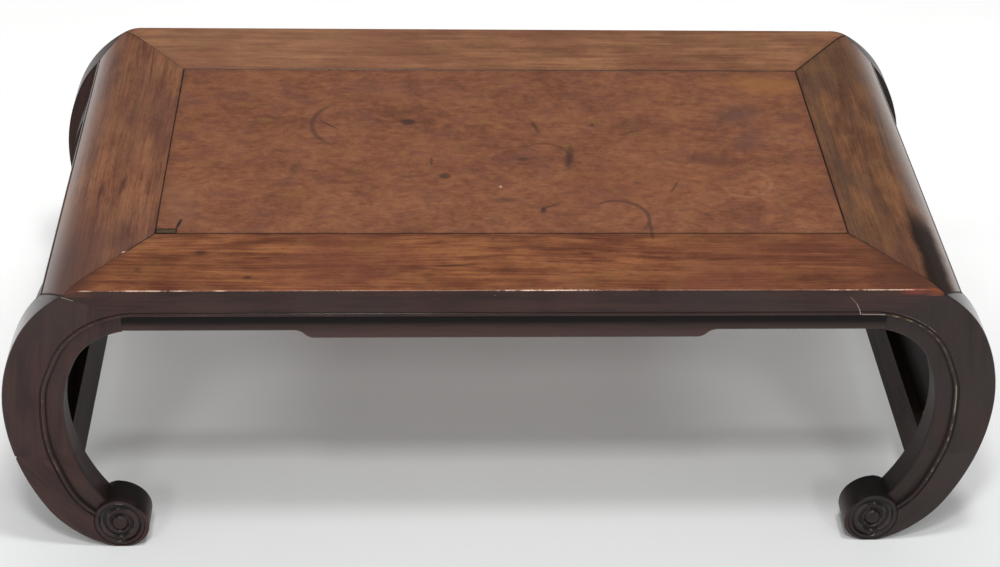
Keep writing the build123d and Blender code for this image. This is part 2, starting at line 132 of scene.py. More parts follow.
class Bench:
    """A node tree that is being put together."""

    def __init__(self, tree):
        self.tree = tree

    def add(self, kind, settings=None, sockets=None, out=0):
        """Make a node: its settings first, then the values or links of its sockets."""
        node = self.tree.nodes.new(kind)
        for name, value in (settings or {}).items():
            if name == "stops":
                ramp = node.color_ramp
                while len(ramp.elements) < len(value):
                    ramp.elements.new(1.0)
                for element, (place, colour) in zip(ramp.elements, value):
                    element.position = place
                    element.color = (*colour, 1.0)
            else:
                setattr(node, name, value)
        for name, value in (sockets or {}).items():
            socket = node.inputs[name]
            if isinstance(value, Value):
                self.tree.links.new(value.socket, socket)
            elif isinstance(value, tuple) and socket.type == "RGBA":
                socket.default_value = (*value[:3], 1.0)
            else:
                socket.default_value = value
        return None if out is None else Value(self, node.outputs[out])

    def parts(self, vector):
        """The X, Y and Z of a vector."""
        first = self.add("ShaderNodeSeparateXYZ", {}, {0: vector})
        return [Value(self, socket) for socket in first.socket.node.outputs]

    def millimetres(self):
        """The place on the object, in millimetres."""
        place = self.add("ShaderNodeTexCoord", out="Object")
        return self.turned(place, (MM, MM, MM))

    def turned(self, place, steps, centre=(0.0, 0.0, 0.0), turn=(0.0, 0.0, 0.0)):
        """A place seen from a centre and a turn in degrees, and counted in steps."""
        return self.add(
            "ShaderNodeMapping",
            {"vector_type": "TEXTURE"},
            {
                "Vector": place,
                "Location": centre,
                "Rotation": tuple(radians(t) for t in turn),
                "Scale": steps,
            },
        )

    def noise(self, place, detail=3.0, roughness=0.55, out=0):
        """A noise whose clouds are about one step across: 0 its value, 1 its colour."""
        sockets = {"Vector": place, "Scale": 1.0, "Detail": detail, "Roughness": roughness}
        return self.add("ShaderNodeTexNoise", {}, sockets, out=out)

    def swayed(self, place, sway, reach):
        """A place that a noise moves by up to a reach."""
        return self.add(
            "ShaderNodeVectorMath",
            {"operation": "MULTIPLY_ADD"},
            {0: sway, 1: (reach, reach, reach), 2: place},
        )

    def length(self, vector):
        return self.add("ShaderNodeVectorMath", {"operation": "LENGTH"}, {0: vector}, out=1)

    def facing(self):
        """The X, Y and Z of the direction that the surface faces."""
        return self.parts(self.add("ShaderNodeNewGeometry", out=1))

    def ramp(self, factor, stops):
        return self.add("ShaderNodeValToRGB", {"stops": stops}, {0: factor})

    def mix(self, factor, first, second):
        """Mix two colours: the first at 0, the second at 1."""
        sockets = {0: factor, 6: first, 7: second}
        return self.add("ShaderNodeMix", {"data_type": "RGBA"}, sockets, out=2)


def srgb(red, green, blue):
    """A colour written in 8-bit display values, as the linear values that a shader takes."""
    return tuple(
        c / 12.92 if c <= 0.04045 else ((c + 0.055) / 1.055) ** 2.4
        for c in (red / 255, green / 255, blue / 255)
    )


# ---- sizes in millimetres: +X along the table, -Y at the front, Z up from the floor
HALF_LENGTH, HALF_DEPTH, TOP = 460.5, 237.0, 309.0
LEG_BACK = 206.0  # inner side of the legs, from the middle
BAND = 38.5  # width of the proud band along the outline
RAIL_BOTTOM = 281.7
GAP, JOINT = 0.12, 0.2  # between frame members, and round the panel
# a corner's joints: the end of a leg's head, the outer end of the mitre, the end rail's lip
LEG_END, MITRE_X, MITRE_Z, LIP_X = 344.5, 392.0, 303.4, 419.1
PANEL_X, PANEL_Y = 320.0, 149.0
# the outline of an end: its widest height, and the radii of its arcs from top to foot
WIDEST = 165.0
EASED_R, SHOULDER_R, HEEL_R, SCROLL_R = 33.5, 122.8, 105.0, 35.0
SHOULDER_RISE = 11.2  # how far the shoulder's own arc would stand above the eased top
SHIN_DROP = 165.7  # from the widest height to the lowest point, just below the flat sole
SCROLL_OFFSET = 70.0  # between the centres of the heel and the scroll
# the hollow inside a leg: its widest height, its top, the wood beside it, and its arcs
HOLLOW_WIDEST, HOLLOW_TOP, LEG_WIDE = 157.0, 259.5, 54.3
HOLLOW_SHOULDER_R, HOLLOW_SHIN_R, HOLLOW_END = 64.0, 192.0, -46.0
# the roll at the foot: its inner side turns about one centre, its top about another
ROLL_X, ROLL_Z, ROLL_R, ROLL_TOP_SHIFT, ROLL_TOP_R = 366.13, 27.3, 28.0, 3.5, 31.5
RING_X, RING_Z, RING_R, RING_TALL = 366.2, 30.3, 24.3, 28.6  # the carved face of a scroll
RING_START = 20.0  # where the leg's bead runs onto the ring, in degrees above level
# cutters reach past the wood: before and behind a leg, and below and above the frame
CUT_FRONT, CUT_BACK, CUT_LOW, CUT_HIGH = -240.0, -200.0, 240.0, 330.0


def on_arc(centre, radius, turn):
    """A place on a circle, at a turn in degrees above level."""
    return centre[0] + radius * cos(radians(turn)), centre[1] + radius * sin(radians(turn))


def on_ring(turn, grow=0.0):
    """A place on the rim of a scroll's face, which is taller than it is wide."""
    c, s = cos(radians(turn)), sin(radians(turn))
    return RING_X + (RING_R + grow) * c, RING_Z + (RING_TALL + grow) * s


# the outline of an end, as tangent arcs: centre, radius, from turn, to turn
FLANK_TURN, SHIN_TURN, HEEL_TURN = 26.4, 27.0, 67.8
flank_sine, shin_sine, heel_sine = (sin(radians(t)) for t in (FLANK_TURN, SHIN_TURN, HEEL_TURN))
flank_r = (TOP + SHOULDER_RISE - WIDEST - SHOULDER_R * (1 - flank_sine)) / flank_sine
flank_c = (HALF_LENGTH - flank_r, WIDEST)
shoulder_c = on_arc(flank_c, flank_r - SHOULDER_R, FLANK_TURN)
eased_z = TOP - EASED_R
eased_x = shoulder_c[0] + ((SHOULDER_R - EASED_R) ** 2 - (eased_z - shoulder_c[1]) ** 2) ** 0.5
eased_turn = degrees(atan2(eased_z - shoulder_c[1], eased_x - shoulder_c[0]))
shin_r = (SHIN_DROP - SCROLL_R * (1 - heel_sine) - HEEL_R * (heel_sine - shin_sine)) / shin_sine
shin_c = (HALF_LENGTH - shin_r, WIDEST)
heel_c = on_arc(shin_c, shin_r - HEEL_R, -SHIN_TURN)
scroll_c = on_arc(heel_c, SCROLL_OFFSET, -HEEL_TURN)
OUTLINE = [
    (shoulder_c, SHOULDER_R, 90.0, FLANK_TURN),
    (flank_c, flank_r, FLANK_TURN, 0.0),
    (shin_c, shin_r, 0.0, -SHIN_TURN),
    (heel_c, HEEL_R, -SHIN_TURN, -HEEL_TURN),
    (scroll_c, SCROLL_R, -HEEL_TURN, -90.0),
]
# the hollow inside a leg, which starts from the level underside of the frame's strip
hollow_x = HALF_LENGTH - LEG_WIDE
hollow_flank_r = (HOLLOW_TOP - HOLLOW_WIDEST - HOLLOW_SHOULDER_R * (1 - flank_sine)) / flank_sine
hollow_flank_c = (hollow_x - hollow_flank_r, HOLLOW_WIDEST)
hollow_shoulder_c = on_arc(hollow_flank_c, hollow_flank_r - HOLLOW_SHOULDER_R, FLANK_TURN)
HOLLOW = [
    (hollow_shoulder_c, HOLLOW_SHOULDER_R, 90.0, FLANK_TURN),
    (hollow_flank_c, hollow_flank_r, FLANK_TURN, 0.0),
    ((hollow_x - HOLLOW_SHIN_R, HOLLOW_WIDEST), HOLLOW_SHIN_R, 0.0, HOLLOW_END),
]
hollow_line = np.array(
    [(250.0, HOLLOW_TOP)]
    + [on_arc(c, r, t) for c, r, high, low in HOLLOW for t in np.arange(high, low, -0.5)]
)


def arc_at(turn):
    """Centre and radius of the outline's arc at a turn."""
    for centre, radius, high, low in OUTLINE:
        if low <= turn <= high:
            return centre, radius
    return OUTLINE[-1][:2]


def top_inset(turn):
    """How far inside the shoulder's own arc the eased, flat top lies."""
    if turn <= eased_turn:
        return 0.0
    c, s = cos(radians(turn)), sin(radians(turn))
    flat = (TOP - shoulder_c[1]) / s
    if shoulder_c[0] + flat * c <= eased_x:
        return SHOULDER_R - flat
    dx, dz = eased_x - shoulder_c[0], eased_z - shoulder_c[1]
    b = dx * c + dz * s
    return SHOULDER_R - (b + (b * b - dx * dx - dz * dz + EASED_R**2) ** 0.5)


def eased(value, start, stop):
    """0 at start and before it, 1 at stop and after it, smooth between."""
    share = min(1.0, max(0.0, (value - start) / (stop - start)))
    return share * share * (3.0 - 2.0 * share)


def band_change(height, smooth=eased):
    """How much wider the proud band is at a height, which is a number or a node's value."""
    upper, lower = 1.0 - smooth(height, 112.0, 182.0), 1.0 - smooth(height, 62.0, 108.0)
    return 2.2 * smooth(height, 192.0, 226.0) - 3.6 * upper - 2.4 * lower


def hollow_inset(turn):
    """How far in from the outline the hollow starts, on the ray at a turn."""
    centre, radius = arc_at(turn)
    n = np.array((cos(radians(turn)), sin(radians(turn))))
    place = hollow_line - np.array(centre) - radius * n
    inset, slide = -place @ n, place @ np.array((-n[1], n[0]))
    for k in np.where(slide[:-1] * slide[1:] <= 0)[0]:
        share = slide[k] / (slide[k] - slide[k + 1])
        found = inset[k] + share * (inset[k + 1] - inset[k])
        if 20 < found < 90:  # the nearer of the places where the ray meets it
            return found
    raise ValueError(turn)


# ---- finishes ---------------------------------------------------------------------
# turns that lay the grain along the table, across it, and upright
ALONG_X, ALONG_Y, UPRIGHT = (0.0, 0.0, 0.0), (0.0, 0.0, 90.0), (0.0, -90.0, 0.0)
PORE = srgb(44, 22, 16)
# a near-black brown for dirt, dark joints and flecks, and for painted shade in the grooves and
# along the end rails' lips
GRIME_AND_SHADE = srgb(30, 19, 16)
# above these heights a place is on the flat top, on its edge too, or higher than the face
FLAT_TOP, TOP_EDGE, FACE_TOP = 308.0, 302.0, 300.0
# past these depths it is on a moulded face at all, on more of it, or on its proud band
ANY_FACE, NEAR_FACE, PROUD_FACE = 230.0, 234.0, 236.0


def leaning(turn):
    """Grain at a turn above +X, seen from the front."""
    return (0.0, -turn, 0.0)


def finish(name, paint):
    """A material from a function that makes its surface."""
    made = bpy.data.materials.new(name)
    made.use_nodes = True
    made.node_tree.nodes.clear()
    b = Bench(made.node_tree)
    b.add("ShaderNodeOutputMaterial", {}, {"Surface": paint(b)}, out=None)
    return made


def varnished(b, colour, roughness, height, coat):
    """Rubbed old varnish over a wood colour."""
    relief = {"Strength": 0.5, "Distance": 0.12 * MM, "Height": height}
    normal = b.add("ShaderNodeBump", {}, relief)
    return b.add(
        "ShaderNodeBsdfPrincipled",
        {},
        {
            "Base Color": colour,
            "Roughness": roughness,
            "Specular IOR Level": 0.14,
            "Coat Weight": coat,
            "Coat Roughness": 0.2,
            "Normal": normal,
        },
    )


class Timber:
    """The bands, lines, pores and mottle of straight timber, each from 0 to 1."""

    def __init__(self, b, place, turn, start):
        sway = b.noise(b.turned(place, (330.0, 100.0, 100.0), start, turn), 1.0, out=1)
        bent = b.swayed(place, sway, 26.0)

        def at(*steps):
            return b.turned(bent, steps, start, turn)

        self.bands = b.noise(at(240.0, 12.0, 12.0), 2.0)
        self.lines = b.noise(at(75.0, 1.9, 1.9), 3.0, 0.6)
        self.pores = b.noise(at(9.0, 0.5, 0.5), 1.0).between(0.58, 0.70)
        self.mottle = b.noise(at(46.0, 20.0, 20.0), 4.0, 0.62)
        self.haze = b.noise(b.turned(place, (150.0, 110.0, 110.0), start, turn), 2.0, 0.6)
        self.tone = (self.bands * 0.3 + self.lines * 0.34 + self.mottle * 0.36).between(0.36, 0.64)
        self.height = self.lines * 0.35 + self.mottle * 1.2 - self.pores * 0.5


def shades(*colours):
    """The stops of a ramp that runs evenly through colours."""
    return [(k / (len(colours) - 1), colour) for k, colour in enumerate(colours)]


def joint_lines(x, y):
    """How near a place on the top is to a joint: 1 on it, and a wider halo."""
    reach, depth = abs(x) - PANEL_X, abs(y) - PANEL_Y
    run_x, run_y = MITRE_X - PANEL_X, HALF_DEPTH - PANEL_Y
    span = hypot(run_x, run_y)
    mitre = abs(reach * (run_y / span) - depth * (run_x / span))
    mitre = mitre + (x < 0.0) * (y > 0.0) * 0.9  # the rear left mitre is tight
    outside = reach.higher(depth)
    away = abs(outside).lower(mitre + (outside < 0.0) * 50.0)
    faded = 1.0 - reach.between(14.0, 38.0) * (y < 0.0) * 0.85
    return (1.0 - away.between(0.3, 1.5)) * faded, 1.0 - away.between(0.0, 8.0)


def seat_line(x, y):
    """The joint between an end rail and the head of a leg."""
    run_x, run_y = LIP_X - MITRE_X, HALF_DEPTH - LEG_BACK
    span = hypot(run_x, run_y)
    away = abs((abs(x) - MITRE_X) * (run_y / span) + (abs(y) - HALF_DEPTH) * (run_x / span))
    return 1.0 - away.between(0.4, 1.5)


ANY_HEIGHT = 1e6  # so long a step that a place's height hardly counts


def stain(b, place, centre, radii, turn, soft):
    """A soft spot on the top."""
    seen = b.turned(place, (*radii, ANY_HEIGHT), (*centre, TOP), (0.0, 0.0, turn))
    return 1.0 - b.length(seen).between(1.0 - soft, 1.0 + soft)


def spotted(b, colour, place, spots, tint, soft, where=1.0):
    """A colour with spots on it: the centre, radii, turn and strength of each."""
    for centre, radii, turn, amount in spots:
        spot = stain(b, place, centre, radii, turn, soft)
        colour = b.mix(spot * (amount * where), colour, tint)
    return colour


def cup_ring(b, place, centre, radii, width, open_turn, until):
    """The mark that a wet cup leaves, which fades out on one side."""
    seen = b.turned(place, (*radii, ANY_HEIGHT), (*centre, TOP), (0.0, 0.0, open_turn))
    line = 1.0 - (abs(b.length(seen) - 1.0) * (radii[0] / width)).between(0.3, 1.4)
    return line * (1.0 - b.parts(seen)[0].between(until - 0.35, until + 0.25))


def scratch(x, z, start, stop, width):
    """A fine line on the front, from start to stop."""
    run_x, run_z = stop[0] - start[0], stop[1] - start[1]
    length = hypot(run_x, run_z)
    c, s = run_x / length, run_z / length
    along = (x - start[0]) * c + (z - start[1]) * s
    across = abs((z - start[1]) * c - (x - start[0]) * s)
    inside = along.between(-0.4, 0.6) * (1.0 - along.between(length - 0.6, length + 0.4))
    return inside * (1.0 - across.between(width * 0.35, width))


def leg_inset(x, z):
    """How far inside an end's outline a place lies, along a leg and its rail."""
    reach = abs(x)

    def above(centre, turn):
        c, s = cos(radians(turn)), sin(radians(turn))
        return (z - centre[1]) * c - (reach - centre[0]) * s > 0.0

    def inside(centre, radius):
        dx, dz = (reach - centre[0]).higher(0.0), z - centre[1]
        return radius - (dx * dx + dz * dz).root()

    inset = inside(heel_c, HEEL_R)
    for test, turn, centre, radius in (
        (shin_c, -SHIN_TURN, shin_c, shin_r),
        (shin_c, 0.0, flank_c, flank_r),
        (flank_c, FLANK_TURN, shoulder_c, SHOULDER_R),
    ):
        inset = inset + above(test, turn) * (inside(centre, radius) - inset)
    return inset - band_change(z, Value.between)


def outwards(nx, x):
    """How much a surface faces away from the middle of the table, along it."""
    return nx * x / abs(x)


def window(value, low, high, soft):
    """1 between two values and 0 outside them."""
    return value.between(low - soft, low + soft) * (1.0 - value.between(high - soft, high + soft))


def moulding(b, place, z, inset):
    """Dirt and painted shade in the grooves beside the bead, and rubbed places with a painted
    highlight along the bead.
    """
    clear = z.between(60.0, 85.0)
    groove = 1.0 - abs(inset - 34.4).between(0.3, 1.6)
    fall = 1.0 - abs(inset - 39.7).between(0.4, 1.5)
    crest = 1.0 - abs(inset - 36.7).between(0.2, 1.3)
    rubbed_and_highlit = b.noise(b.turned(place, (14.0, 14.0, 14.0)), 3.0, 0.7).between(0.52, 0.66)
    return groove.higher(fall) * clear, crest * rubbed_and_highlit * clear


def top_arris(b, place, x, y, z, spells):
    """Where the long top edges are worn pale and carry a painted highlight, most of all along some
    spells of them.
    """
    dy, dz = HALF_DEPTH - abs(y), TOP - z
    near = 1.0 - (dy * dy + dz * dz).root().between(0.55, 1.15)
    bright = 0.14
    for low, high, share in spells:
        bright = window(x, low, high, 3.0) * share + bright
    dashes = b.noise(b.turned(place, (22.0, 300.0, 300.0)), 5.0, 0.75).between(0.38, 0.56)
    return near * bright * dashes


def frame_top(b, place, x, y, timber, worn, tint):
    """The worn colour of the frame's top, with its dark joints."""
    colour = b.ramp(timber.tone, worn)
    colour = b.mix(timber.haze.between(0.44, 0.62) * 0.45, colour, tint)
    olive = b.noise(b.turned(place, (34.0, 30.0, 30.0), (50.0, 9.0, 0.0)), 4.0, 0.66)
    greener = b.mix(0.5, worn[1][1], srgb(122, 92, 52))
    colour = b.mix(olive.between(0.50, 0.66) * 0.4, colour, greener)
    line, halo = joint_lines(x, y)
    broken = b.noise(b.turned(place, (16.0, 16.0, 16.0)), 3.0).between(0.25, 0.55)
    colour = b.mix(halo * 0.22, colour, srgb(70, 50, 38))
    return b.mix(line * (broken * 0.45 + 0.45), colour, GRIME_AND_SHADE)


def seasoned(b, colour, timber, place, amount=1.0):
    """Pores, dark flecks and pale nicks."""
    colour = b.mix(timber.pores * 0.42 * amount, colour, PORE)
    fleck = b.noise(b.turned(place, (5.0, 2.4, 2.4), (31.0, 17.0, 5.0)), 1.0)
    colour = b.mix(fleck.between(0.74, 0.80) * 0.55 * amount, colour, GRIME_AND_SHADE)
    nick = b.noise(b.turned(place, (3.4, 1.7, 1.7), (77.0, 41.0, 9.0)), 1.0, 0.8)
    group = b.noise(b.turned(place, (70.0, 40.0, 40.0), (7.0, 3.0, 1.0)), 2.0)
    nicked = nick.between(0.76, 0.82) * group.between(0.52, 0.60)
    return b.mix(nicked * 0.5 * amount, colour, srgb(176, 136, 108))


PATINA = shades(srgb(44, 29, 27), srgb(57, 37, 34), srgb(68, 45, 40))
FACE = shades(srgb(40, 27, 25), srgb(52, 34, 31), srgb(63, 41, 36))
PATINA_RIGHT = shades(srgb(34, 25, 23), srgb(43, 32, 30), srgb(52, 38, 35))
WORN = shades(srgb(82, 43, 29), srgb(113, 66, 42), srgb(143, 91, 56))
WORN_REAR = shades(srgb(108, 69, 48), srgb(133, 89, 62), srgb(154, 108, 76))
WORN_LEFT = shades(srgb(93, 56, 43), srgb(122, 79, 57), srgb(143, 96, 66))
WORN_RIGHT = shades(srgb(80, 51, 36), srgb(107, 70, 48), srgb(128, 86, 56))


def long_rail(start, worn, marks, spells):
    """Straight wood along the table: a worn top above a dark moulded face."""

    def paint(b):
        place = b.millimetres()
        x, y, z = b.parts(place)
        timber = Timber(b, place, ALONG_X, start)
        up = b.facing()[2]
        top = frame_top(b, place, x, y, timber, worn, srgb(112, 62, 46))
        side = b.ramp(timber.tone, FACE)
        side = b.mix(timber.haze.between(0.42, 0.62) * 0.5, side, srgb(49, 37, 35))
        inset = leg_inset(x, z)
        dirt_and_shade, rubbed_and_highlit = moulding(b, place, z, inset)
        # painted shade and dirt in the grooves; wear and a painted highlight on the bead's crest
        side = b.mix(dirt_and_shade * 0.6, side, GRIME_AND_SHADE)
        side = b.mix(rubbed_and_highlit * 0.12, side, srgb(110, 88, 78))
        colour = b.mix(up.between(0.3, 0.85) * (z > FACE_TOP), side, top)
        colour = seasoned(b, colour, timber, place)
        colour = marks(b, place, x, y, z, inset, colour)
        # the top edge worn pale, with a painted highlight
        arris_wear_and_highlight = top_arris(b, place, x, y, z, spells)
        colour = b.mix(arris_wear_and_highlight * 0.8, colour, srgb(222, 184, 162))
        roughness = 0.36 + timber.mottle * 0.16 + timber.pores * 0.1 - arris_wear_and_highlight * 0.1
        return varnished(b, colour, roughness, timber.height, timber.haze * 0.4 + arris_wear_and_highlight)

    return paint


# spells of the front rail's top edge that are worn pale with a painted highlight: from, to,
# strength
FRONT_SPELLS = [
    (-377.0, -367.0, 0.5),
    (-350.0, -279.0, 0.85),
    (-259.0, -250.0, 0.7),
    (-10.0, 84.0, 0.8),
    (160.0, 163.0, 0.6),
    (284.0, 362.0, 0.7),
]


# where the mitre between the front rail and the left leg has opened
OPEN_MITRE = ((-394.5, 303.2), (-380.5, 297.8))


def front_rail_marks(b, place, x, y, z, inset, colour):
    """Spots and dim ends on the front rail's top, and scratches on its face."""
    on_top = z > FLAT_TOP
    spots = (
        ((-275.6, -179.7), (5.5, 3.4), 0.0, 0.55),
        ((-232.0, -217.0), (3.6, 2.2), 10.0, 0.6),
        ((-46.0, -199.0), (19.0, 1.6), 4.0, 0.55),
        ((73.0, -181.0), (6.0, 1.7), -8.0, 0.5),
        ((196.0, -190.0), (16.0, 1.5), 5.0, 0.45),
        ((-330.0, -205.0), (3.0, 4.5), 20.0, 0.35),
        ((136.6, -148.0), (1.8, 10.0), -2.0, 0.45),
    )
    colour = spotted(b, colour, place, spots, GRIME_AND_SHADE, 0.6, on_top)
    colour = b.mix(x.between(120.0, 330.0) * on_top * 0.3, colour, srgb(94, 54, 38))
    colour = b.mix(x.between(306.0, 372.0) * (z > TOP_EDGE) * 0.75, colour, srgb(72, 42, 32))
    colour = b.mix((-x).between(358.0, 378.0) * (z > TOP_EDGE) * 0.8, colour, srgb(78, 46, 36))
    red = stain(b, place, (365.0, -236.4), (11.0, 1.5), 0.0, 0.7)
    colour = b.mix(red * (z > 304.0) * 0.45, colour, srgb(144, 62, 46))
    orange = stain(b, place, (384.0, -235.2), (7.0, 2.4), 0.0, 0.7)
    colour = b.mix(orange * (z > TOP_EDGE) * 0.5, colour, srgb(150, 76, 42))
    front = y < -NEAR_FACE
    for start, stop, width, depth in (
        ((306.5, 301.0), (313.3, 293.4), 0.5, 0.2),
        ((313.3, 293.4), (316.6, 287.0), 0.6, 0.38),
        ((316.6, 287.0), (318.5, 281.2), 0.6, 0.55),
        ((319.5, 281.0), (341.0, 280.7), 0.7, 0.5),
        (*OPEN_MITRE, 0.6, 0.4),
    ):
        line = scratch(x, z, start, stop, width) * front
        colour = b.mix(line * depth, colour, srgb(196, 182, 168))
    return colour


def rear_rail_marks(b, place, x, y, z, inset, colour):
    """A paler left half of the rear rail's top."""
    return b.mix((-x).between(-60.0, 240.0) * (z > FLAT_TOP) * 0.1, colour, srgb(184, 140, 112))


def no_marks(b, place, x, y, z, inset, colour):
    """Wood with nothing of its own on it."""
    return colour


def end_rail(start, worn, tint, marks):
    """Straight wood across an end, worn on its top and rolled over at its side."""

    def paint(b):
        place = b.millimetres()
        x, y, z = b.parts(place)
        timber = Timber(b, place, ALONG_Y, start)
        colour = frame_top(b, place, x, y, timber, worn, tint)
        colour = seasoned(b, colour, timber, place)
        colour, dry = marks(b, place, x, y, colour)
        # painted shade: a dark line along the lip's groove and bead
        colour = b.mix((1.0 - z.between(283.0, 286.2)) * 0.85, colour, GRIME_AND_SHADE)
        seat = seat_line(x, y)
        colour = b.mix(seat * 0.85, colour, GRIME_AND_SHADE)
        roughness = 0.33 + timber.mottle * 0.18 + timber.pores * 0.1 + dry * 0.2
        sheen = (0.8 + timber.haze * 0.8) * (1.0 - z.between(283.0, 306.0) * 0.85)
        sheen = sheen * (1.0 - dry.higher(seat))
        return varnished(b, colour, roughness, timber.height, sheen)

    return paint


def left_end_marks(b, place, x, y, colour):
    """Dark streaks, a dim front and a chip on the left end rail, and where it is dry."""
    spots = (
        ((-358.2, -69.0), (2.0, 17.0), -4.0, 0.55),
        ((-378.0, -81.0), (1.8, 13.0), -3.0, 0.5),
        ((-353.6, 150.0), (0.9, 46.0), 2.0, 0.6),
        ((-344.0, -100.0), (2.4, 20.0), 3.0, 0.3),
        ((-336.0, 40.0), (6.0, 60.0), 3.0, 0.25),
        ((-352.0, -150.0), (9.0, 24.0), 0.0, 0.3),
        ((-362.0, 60.0), (3.0, 30.0), -2.0, 0.3),
    )
    colour = spotted(b, colour, place, spots, srgb(54, 36, 36), 0.6)
    dim = (1.0 - y.between(-190.0, -60.0)) * ((-x).between(350.0, 392.0) * 0.4 + 0.4)
    colour = b.mix(dim, colour, srgb(82, 59, 54))
    chip = stain(b, place, (-344.9, -178.2), (1.7, 1.1), 30.0, 0.5)
    return b.mix(chip * 0.8, colour, srgb(190, 168, 146)), chip


def right_end_marks(b, place, x, y, colour):
    """Dark streaks and a black stretch on the right end rail, and where it is dry."""
    wander = b.noise(b.turned(place, (60.0, 22.0, 22.0)), 4.0, 0.65) * 12.0
    left = (x + wander).between(381.0, 390.0)
    low = (x + wander * 0.8).between(404.0, 418.0)
    zone = left * (1.0 - low) * (1.0 - (y + wander * 2.0).between(-130.0, -72.0))
    colour = b.mix((1.0 - y.between(-175.0, -100.0)) * 0.4, colour, srgb(82, 54, 44))
    colour = b.mix(zone * 0.93, colour, srgb(30, 20, 17))
    spots = (
        ((342.0, 128.0), (16.0, 26.0), -20.0, 0.45),
        ((331.0, -20.0), (6.0, 110.0), 0.0, 0.5),
        ((350.0, -70.0), (9.0, 40.0), 14.0, 0.35),
        ((366.0, 60.0), (20.0, 16.0), 0.0, 0.3),
    )
    return spotted(b, colour, place, spots, srgb(74, 58, 48), 0.7), zone


def leg_wood(turn, start, tones, marks, groove_dirt_and_shade):
    """Dark wood of a leg, with the grain at a turn and some dirt and painted shade in its grooves.
    """

    def paint(b):
        place = b.millimetres()
        x, y, z = b.parts(place)
        timber = Timber(b, place, leaning(turn), start)
        nx, _, nz = b.facing()
        colour = b.ramp(timber.tone, tones)
        colour = b.mix(timber.haze.between(0.42, 0.62) * 0.5, colour, srgb(50, 39, 37))
        colour = b.mix(timber.mottle.between(0.5, 0.72) * 0.3, colour, srgb(64, 36, 33))
        inset = leg_inset(x, z)
        dirt_and_shade, rubbed_and_highlit = moulding(b, place, z, inset)
        front = abs(y) > ANY_FACE
        # dirt and painted shade in the grooves, and wear and a painted highlight on the bead's
        # crest
        colour = b.mix(dirt_and_shade * front * groove_dirt_and_shade, colour, GRIME_AND_SHADE)
        colour = b.mix(rubbed_and_highlit * front * 0.35, colour, srgb(118, 98, 88))
        colour = seasoned(b, colour, timber, place, 0.6)
        # the scroll's face darker, with dirt and painted shade in its carved hollows; the top of
        # the roll near black; painted shade along the back edge
        dx, dz = abs(x) - RING_X, (z - RING_Z) * (RING_R / RING_TALL)
        disc = 1.0 - (dx * dx + dz * dz).root().between(RING_R - 1.5, RING_R + 0.5)
        colour = b.mix(disc * front * 0.5, colour, srgb(30, 28, 27))
        sunk = (HALF_DEPTH - abs(y)).between(0.4, 1.8) * disc * front
        colour = b.mix(sunk * 0.65, colour, srgb(12, 11, 11))
        roll = nz.between(0.1, 0.7) * (1.0 - z.between(66.0, 74.0)) * (1.0 - front * disc)
        colour = b.mix(roll * 0.85, colour, srgb(18, 20, 20))
        # darker low inside the hollow; a painted reflection of the floor, pale purple-grey, on the
        # roll's inner side
        inward = outwards(nx, x) < -0.35
        low = (1.0 - z.between(60.0, 175.0)) * (1.0 - roll)
        under = 1.0 - z.between(48.0, 60.0)
        colour = b.mix(inward * low * (1.0 - under) * 0.8, colour, srgb(28, 23, 22))
        colour = b.mix(inward * low * under * 0.6, colour, srgb(74, 62, 64))
        outer = outwards(nx, x).between(0.25, 0.6)
        # painted shade: a near-black line along the back edge of the outer side
        back = outer * (1.0 - abs(y).between(207.0, 209.4)) * (abs(x) > 395.0)
        colour = b.mix(back * 0.85, colour, srgb(16, 12, 11))
        seat = seat_line(x, y) * (z > 280.0) * (nz > 0.35)
        colour = b.mix(seat * 0.9, colour, GRIME_AND_SHADE)
        colour = marks(b, place, x, y, z, inset, colour)
        roughness = 0.36 + timber.mottle * 0.18 + dirt_and_shade * 0.2
        sheen = timber.haze * 0.4 + outer * (0.75 - (y > 0.0) * z.between(225.0, 260.0) * 0.65)
        sheen = sheen * (1.0 - roll.higher(seat).higher(back))
        return varnished(b, colour, roughness, timber.height, sheen)

    return paint


def right_leg_marks(b, place, x, y, z, inset, colour):
    """Rubbed stretches and painted glints along the bead and the border of the front right leg,
    and a painted highlight at its head.
    """
    broken = b.noise(b.turned(place, (7.0, 7.0, 7.0)), 3.0, 0.7)
    bead = 1.0 - abs(inset - 36.9).between(0.1, 0.8)
    border = 1.0 - abs(inset - 33.6).between(0.1, 0.7)
    front = y < -ANY_FACE
    # the upper stretches are wear; the two lowest along the bead are painted glints
    for line, low, high, start, tint in (
        (bead, 272.0, 281.5, 0.42, srgb(182, 164, 118)),
        (bead, 250.0, 270.0, 0.50, srgb(150, 136, 112)),
        (border, 258.0, 281.0, 0.36, srgb(166, 154, 142)),
        (bead, 163.0, 200.0, 0.32, srgb(160, 144, 124)),
        (bead, 78.0, 150.0, 0.48, srgb(140, 126, 114)),
    ):
        worn = line * window(z, low, high, 3.0) * broken.between(start, start + 0.14)
        colour = b.mix(worn * front * 0.75, colour, tint)
    # a painted highlight at the leg's head
    rubbed_and_highlit = scratch(x, z, (400.0, 303.6), (408.0, 304.2), 0.9)
    return b.mix(rubbed_and_highlit * front * 0.6, colour, srgb(206, 200, 194))


def left_leg_marks(b, place, x, y, z, inset, colour):
    """The open mitre of the front left leg, and a painted glint on its scroll's rim."""
    gap = scratch(x, z, *OPEN_MITRE, 1.0)
    crack = scratch(x, z, (-393.5, 302.4), (-383.0, 298.2), 0.5)
    colour = b.mix(gap * (y < -PROUD_FACE) * 0.7, colour, GRIME_AND_SHADE)
    # a painted highlight on the scroll's rim
    glint = window(x, -368.0, -361.6, 1.2) * window(z, 54.4, 56.0, 0.6) * (y < -NEAR_FACE)
    colour = b.mix(glint * 0.5, colour, srgb(160, 144, 146))
    return b.mix(crack * (y < -PROUD_FACE) * 0.6, colour, srgb(166, 154, 140))


PANEL_SWAY = 22.0


